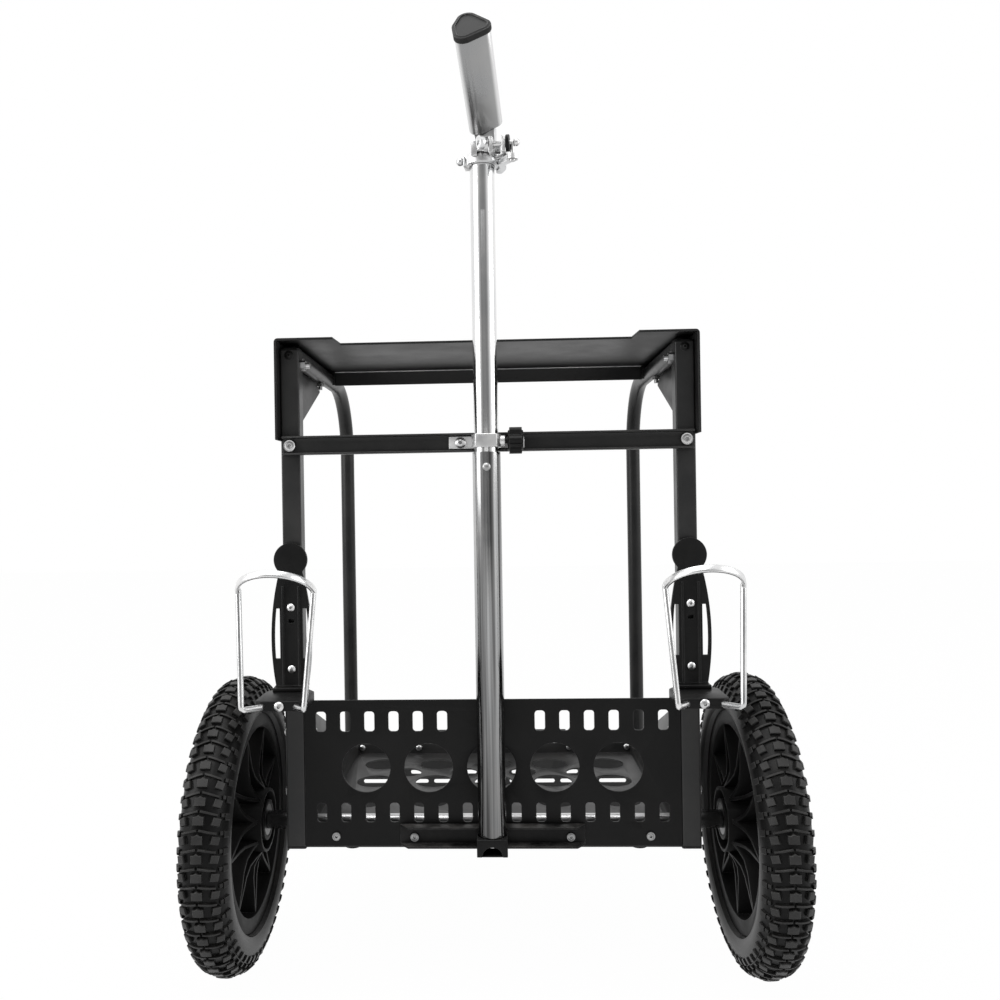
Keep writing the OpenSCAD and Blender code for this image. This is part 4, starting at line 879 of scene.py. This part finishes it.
# %% Roll the tread on to the tyres
def roll_tread(side):
    """Rolls a copy of the flat pitch on to the casing's crown and repeats it round the axle."""
    mid = wheel_mid[side]
    tread = bpy.data.objects.new("tread_" + side, pitch.data.copy())
    scene.collection.objects.link(tread)
    for vertex in tread.data.vertices:
        across, along, height = vertex.co
        turn = across / casing_r
        reach = casing_r + height
        out = section_mid + reach * math.cos(turn)
        round_axle = along / pitch_r
        vertex.co = (mid.x + reach * math.sin(turn), mid.y + out * math.sin(round_axle),
                     mid.z + out * math.cos(round_axle))
    only(tread)
    edit_all()
    bpy.ops.mesh.spin(steps=PITCHES - 1, dupli=True, angle=2 * math.pi * (PITCHES - 1) / PITCHES, center=mid,
                      axis=(1, 0, 0))
    go_to("OBJECT")
    return tread


# On the wall the fixed value paints a sheen.
WALL_FROM, WALL_SHEEN = math.radians(74.0), 0.6


def finish_tyre(side):
    """Joins casing and tread, and writes on each vertex how worn it is from its height, with a fixed painted
    sheen on the wall.
    """
    tyre = casings[side]
    tread = roll_tread(side)
    only(tyre)
    tread.select_set(True)
    bpy.ops.object.join()
    tyre.name = "knobbly_tyre_" + side
    mid = wheel_mid[side]
    height = tyre.data.attributes.new("tread_height", "FLOAT", "POINT")
    for vertex, item in zip(tyre.data.vertices, height.data):
        out = math.hypot(vertex.co.y - mid.y, vertex.co.z - mid.z) - section_mid
        stand = math.hypot(out, vertex.co.x - mid.x) - casing_r
        wear_and_wall_sheen = WALL_SHEEN if math.atan2(abs(vertex.co.x - mid.x), out) > WALL_FROM else 0.0
        item.value = max(wear_and_wall_sheen, min(1.0, stand / KNOB_H))
    only(tyre)
    smooth(25.0)
    put_on(tyre, tyre_rubber)
    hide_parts("tyre_" + side)
    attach(tyre, body_of_node("tyre_" + side))
    return tyre


tyres = {side: finish_tyre(side) for side in SIDES}
bpy.data.objects.remove(pitch)
print("tyres", [len(t.data.polygons) for t in tyres.values()], "faces each")

# %% [markdown]
# ## Valve caps
# Each inner tube has a rubber stem that comes through the rim. Its free end carries a small metal cap: a
# short cylinder whose free end is narrowed, inset and drawn out to a smaller step. It is turned along the
# stem.

# %% Model the valve caps
CAP_R, CAP_LONG = 3.5 * MM, 7.5 * MM
CAP_RIM, CAP_STEP = 0.9 * MM, 1.2 * MM
CAP_PAST_STEM = 1.6 * MM
CAP_TAPER = 0.82
STEM_END = 0.4 * MM


def valve_cap(side):
    """A small metal cap over the stem's free end."""
    mid = wheel_mid[side]
    points = [v.co for v in nodes["inner_tube_" + side].data.vertices]
    reach = {i: math.hypot(p.y - mid.y, p.z - mid.z) for i, p in enumerate(points)}
    nearest = min(reach.values())
    ring = [points[i] for i, r in reach.items() if r < nearest + STEM_END]
    tip = Vector((0, 0, 0))
    for point in ring:
        tip += point / len(ring)
    out = Vector((0, tip.y - mid.y, tip.z - mid.z)).normalized()
    bpy.ops.mesh.primitive_cylinder_add(vertices=20, radius=CAP_R, depth=CAP_LONG)
    cap = bpy.context.object
    cap.name = "valve_cap_" + side
    choose(cap, lambda p: p.z < 0)
    bpy.ops.transform.resize(value=(CAP_TAPER, CAP_TAPER, 1.0))
    bpy.ops.mesh.select_mode(type="FACE")
    bpy.ops.mesh.inset(thickness=CAP_RIM)
    bpy.ops.transform.translate(value=(0, 0, -CAP_STEP))
    go_to("OBJECT")
    cap.location = tip + out * CAP_PAST_STEM
    cap.rotation_euler = out.to_track_quat("Z", "Y").to_euler()
    bring_to_origin(cap)
    bevel = cap.modifiers.new("edge", "BEVEL")
    bevel.width = 0.35 * MM
    bevel.segments = 2
    apply_all(cap)
    smooth()
    put_on(cap, bright_zinc)
    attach(cap, body_of_node("tyre_" + side))
    return cap


caps = [valve_cap(side) for side in SIDES]
print("valve caps", [len(cap.data.polygons) for cap in caps], "faces each")

# %% [markdown]
# ## Bottle cage hoops
# The hoop is one bright rod. It leaves the shelf, turns up at the toe, and its top is rolled flat into a
# band that leans back round the bottle. The rod is a path with small bend radii, given a round section and
# made a mesh; the band is a rounded flat section spun through half a turn.

# %% Bend the hoops
ROD_R = 2.85 * MM
BEND_R = 4.0 * MM
HOOP_R = 37.0 * MM
TOE_X = 17.0 * MM
ARCH_TILT = math.radians(32.0)
BAND = (4.0 * MM, 7.4 * MM)
BAND_ROUND = 1.5 * MM
BAND_TOP = 4.2 * MM
BAND_BITE = Vector((0, -1.2 * MM, 2.2 * MM))
IN_SHELF, TOE_BACK = 15 * MM, 4 * MM
KNEE_X, KNEE_BACK, KNEE_RISE = 30 * MM, 25 * MM, 2 * MM
ROD_MERGE = 0.01 * MM


def rounded_path(corners, bend):
    """Corner points with a bend of eight points at every inner corner."""
    path = [Vector(corners[0])]
    for before, corner, after in zip(corners, corners[1:], corners[2:]):
        into = (Vector(corner) - Vector(before)).normalized()
        away = (Vector(after) - Vector(corner)).normalized()
        half = into.angle(away) / 2
        back = bend * math.tan(half)
        start, end = Vector(corner) - into * back, Vector(corner) + away * back
        for i in range(8):
            t = i / 7
            path.append(start * (1 - t) ** 2 + Vector(corner) * 2 * t * (1 - t) + end * t * t)
    path.append(Vector(corners[-1]))
    return path


def round_rod(name, path, radius):
    """A round rod along a path, as a closed mesh."""
    bpy.ops.curve.primitive_nurbs_path_add()
    rod = bpy.context.object
    rod.name = name
    rod.location = (0, 0, 0)
    curve = rod.data
    curve.splines.clear()
    spline = curve.splines.new("POLY")
    spline.points.add(len(path) - 1)
    for point, place in zip(spline.points, path):
        point.co = (*place, 1.0)
    curve.dimensions = "3D"
    curve.bevel_depth = radius
    curve.bevel_resolution = 5
    curve.use_fill_caps = True
    bpy.ops.object.convert(target="MESH")
    rod = bpy.context.object
    only(rod)
    merge_and_face_out(ROD_MERGE)
    return rod


def flat_band(place):
    """The flattened top of the hoop: a rounded strip spun through half a turn."""
    bpy.ops.mesh.primitive_plane_add(size=1.0)
    band = bpy.context.object
    band.scale = (BAND[0], BAND[1], 1.0)
    band.rotation_euler.x = math.pi / 2
    band.location = (HOOP_R, 0, 0)
    bring_to_origin(band)
    edit_all()
    bpy.ops.mesh.bevel(offset=BAND_ROUND, segments=3, affect="VERTICES")
    edit_all()
    bpy.ops.mesh.spin(steps=44, angle=math.pi, center=(0, 0, 0), axis=(0, 0, 1))
    edit_all()
    bpy.ops.mesh.remove_doubles(threshold=ROD_MERGE)
    bpy.ops.mesh.select_mode(type="EDGE")
    bpy.ops.mesh.select_all(action="DESELECT")
    bpy.ops.mesh.select_non_manifold()
    bpy.ops.mesh.fill_holes(sides=0)
    bpy.ops.mesh.select_mode(type="VERT")
    edit_all()
    bpy.ops.mesh.normals_make_consistent(inside=False)
    go_to("OBJECT")
    band.rotation_euler.x = -ARCH_TILT
    band.location = place
    bring_to_origin(band)
    return band


def cage_hoop(side):
    """The two legs and the band of one hoop, joined."""
    node = "cage_hoop_" + side
    shelf_low, shelf_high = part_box("cage_shelf_" + side)
    hoop_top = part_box(node)[1][2]
    across = (shelf_low[0] + shelf_high[0]) / 2
    rear = shelf_low[1]
    level = (shelf_low[2] + shelf_high[2]) / 2
    arch_z = hoop_top - HOOP_R * math.sin(ARCH_TILT) - BAND_TOP
    parts = []
    for way in (-1, 1):
        corners = [
            (across + way * TOE_X, rear + IN_SHELF, level), (across + way * TOE_X, rear - TOE_BACK, level),
            (across + way * KNEE_X, rear - KNEE_BACK, level + KNEE_RISE),
            (across + way * HOOP_R, rear - TOE_BACK, arch_z)]
        path = rounded_path(corners, BEND_R)
        path[-1] += BAND_BITE
        parts.append(round_rod("cage_rod", path, ROD_R))
    parts.append(flat_band((across, rear - TOE_BACK, arch_z)))
    only(parts[-1])
    for part in parts[:-1]:
        part.select_set(True)
    bpy.ops.object.join()
    hoop = bpy.context.object
    hoop.name = "bent_hoop_" + side
    only(hoop)
    smooth(40.0)
    put_on(hoop, rod_metal)
    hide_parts(node)
    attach(hoop, body_of_node(node))
    return hoop


hoops = [cage_hoop(side) for side in SIDES]
print("hoops", [len(h.data.polygons) for h in hoops], "faces each")

# %% [markdown]
# ## Small pieces that finish the picture
# A few things are too small or too hidden to matter to the solids, but the eye misses them: the moulded
# border of the grip's cap, a painted highlight along the seat's front bend, two short ends of the seat's
# front flange, the closed foot of the pole's socket, the large screw and the block on the pinch collar, flat
# heads over six of the domed screws, and a sleeve in the slot of the upper pole tube. The border is inset
# in the cap's end. Each of the others starts as a primitive, is bevelled, and rides on the piece that
# carries it.

# %% The border on the grip's cap
# Inset and rise of the flat margin and of the border's outer slope, top and inner slope, in mm.
BORDER_STEPS = ((0.8, 0.0), (0.25, 0.35), (1.2, 0.0), (0.35, -1.1))


def inset_steps(steps, out):
    """Insets the chosen face again and again, and moves it along a direction after each inset."""
    for thickness, rise in steps:
        bpy.ops.mesh.inset(thickness=thickness)
        if rise:
            bpy.ops.transform.translate(value=out * rise)


def cap_border(cap):
    """A sunk field inside a raised border on the cap's end face."""
    only(cap)
    out = Matrix.Rotation(HEAD_TURN, 3, "Z") @ Vector((0, -math.sin(GRIP_TILT), math.cos(GRIP_TILT)))
    ends = [f for f in cap.data.polygons if f.normal.dot(out) > 0.999]
    face = max(ends, key=lambda f: f.area)
    choose_nothing(cap)
    face.select = True
    go_to("EDIT")
    bpy.ops.mesh.select_mode(type="FACE")
    inset_steps([(thickness * MM, rise * MM) for thickness, rise in BORDER_STEPS], out)
    go_to("OBJECT")
    smooth()
    return face.area


print("cap face", round(cap_border(bpy.data.objects["grip_end_cap_soft"]) * 1e6), "mm2")


# %% Small bars, plates and screw heads
def small_piece(obj, name, finish, node, bevel):
    """Names a primitive, bevels and dresses it, and lets it ride with a solid."""
    obj.name = name
    bring_to_origin(obj)
    edge = obj.modifiers.new("edge", "BEVEL")
    edge.width = bevel
    edge.segments = 2
    apply_all(obj)
    smooth()
    put_on(obj, finish)
    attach(obj, body_of_node(node))
    return obj


def bar(name, low, high, finish, node, bevel):
    """A plain box between two corners."""
    low, high = Vector(low), Vector(high)
    bpy.ops.mesh.primitive_cube_add(size=1.0, location=(low + high) / 2, scale=high - low)
    return small_piece(bpy.context.object, name, finish, node, bevel)


# Shares of a screw head's radius, from its rim inwards: both slopes of the groove, the flat face, the edge.
GROOVE_OUTER, GROOVE_INNER, FACE_FLAT, SOCKET_EDGE = 0.18, 0.2, 0.3, 0.02
GROOVE_DEEP = 0.5 * MM


def socket_screw(name, face, out, radius, length, finish, node):
    """A turned screw head with a ring groove in its face and a round socket."""
    out = Vector(out).normalized()
    bpy.ops.mesh.primitive_cylinder_add(vertices=36, radius=radius, depth=length)
    head = bpy.context.object
    choose(head, lambda p: p.z > 0)
    bpy.ops.mesh.select_mode(type="FACE")
    inset_steps([(radius * GROOVE_OUTER, -GROOVE_DEEP), (radius * GROOVE_INNER, GROOVE_DEEP),
                 (radius * FACE_FLAT, 0.0), (radius * SOCKET_EDGE, -length / 2)], Vector((0, 0, 1)))
    go_to("OBJECT")
    head.rotation_euler = out.to_track_quat("Z", "Y").to_euler()
    head.location = Vector(face) - out * length / 2
    return small_piece(head, name, finish, node, 0.25 * MM)


SEAT_SHEET = 2.5 * MM
LINE_SUNK, LINE_STANDS = 1.1 * MM, 0.2 * MM
pan_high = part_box("seat_pan")[1]
line_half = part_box("leg_tube_right")[0][0] - 1.0 * MM
bend_y, bend_z = pan_high[1] - SEAT_SHEET, pan_high[2] - SEAT_SHEET
# The light bar in the bend is a painted highlight.
bar("seat_bend_line", (-line_half, bend_y - LINE_SUNK, bend_z - LINE_SUNK),
    (line_half, bend_y + LINE_STANDS, bend_z + LINE_STANDS), bend_highlight, "seat_pan", 0.6 * MM)
FLANGE_DEEP, FLANGE_LONG = 19 * MM, 10 * MM
for way, side in zip((-1, 1), SIDES):
    ends = sorted((way * (line_half - 1 * MM), way * (line_half + FLANGE_LONG)))
    bar("flange_end_" + side, (ends[0], bend_y, pan_high[2] - FLANGE_DEEP),
        (ends[1], pan_high[1], pan_high[2] - 0.5 * MM), seat_coat, "seat_pan", 0.3 * MM)
FOOT_THICK = 1.2 * MM
socket_low, socket_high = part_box("pole_socket")
bar("socket_foot", (socket_low[0] + 2 * MM, socket_low[1] + 1.2 * MM, socket_low[2]),
    (socket_high[0] - 2 * MM, socket_high[1] - 1 * MM, socket_low[2] + FOOT_THICK),
    black_plastic, "pole_socket", 0.2 * MM)
PINCH_FACE = (pole.x - 3.6 * MM, pole.y - 23.0 * MM, hinge - 2.5 * MM)
PINCH_OUT = (-0.86, -0.5, 0.0)
socket_screw("pinch_screw", PINCH_FACE, PINCH_OUT, 7.2 * MM, 5.0 * MM, bare_metal, "head_collar")
HEAD_THICK, HEAD_STANDS = 4.0 * MM, 0.1 * MM
head_sizes = {"crossbar_bolts": (6.05, bright_zinc), "pole_bracket_screws": (4.3, dull_zinc),
              "panel_screws": (4.3, dull_zinc)}
for node, (radius, finish) in head_sizes.items():
    low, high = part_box(node)
    for side, x in zip(SIDES, (low[0] + radius * MM, high[0] - radius * MM)):
        face = (x, low[1] - HEAD_STANDS, (low[2] + high[2]) / 2)
        socket_screw(node + "_head_" + side, face, (0, -1, 0), radius * MM, HEAD_THICK, finish, node)
bar("pinch_block", (pole.x - 10.5 * MM, pole.y - 20.5 * MM, hinge - 13.0 * MM),
    (pole.x - 4.5 * MM, pole.y - 14.5 * MM, hinge + 1.0 * MM), bare_metal, "head_collar", 0.6 * MM)
print("small pieces, with heads on", len(head_sizes), "kinds of screw")

# %% Line the slot of the upper pole tube
LINER_UNDER = 0.25 * MM


def slot_liner():
    """A sleeve inside the tube's wall, so that the lock's slot reads as a shallow groove."""
    low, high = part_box("pole_inner_tube")
    radius = (high[0] - low[0]) / 2 - LINER_UNDER
    bpy.ops.mesh.primitive_cylinder_add(vertices=96, radius=radius, depth=high[2] - low[2] - 2 * MM,
                                        location=(pole.x, pole.y, (low[2] + high[2]) / 2))
    return small_piece(bpy.context.object, "slot_liner", polished_tube, "pole_inner_tube", 0.1 * MM)


print("liner", len(slot_liner().data.polygons), "faces")

# %% [markdown]
# ## The last step
# Nothing is left selected. The dressed cart may not be larger than its solids.

# %% Clear the selection
bpy.ops.object.select_all(action="DESELECT")
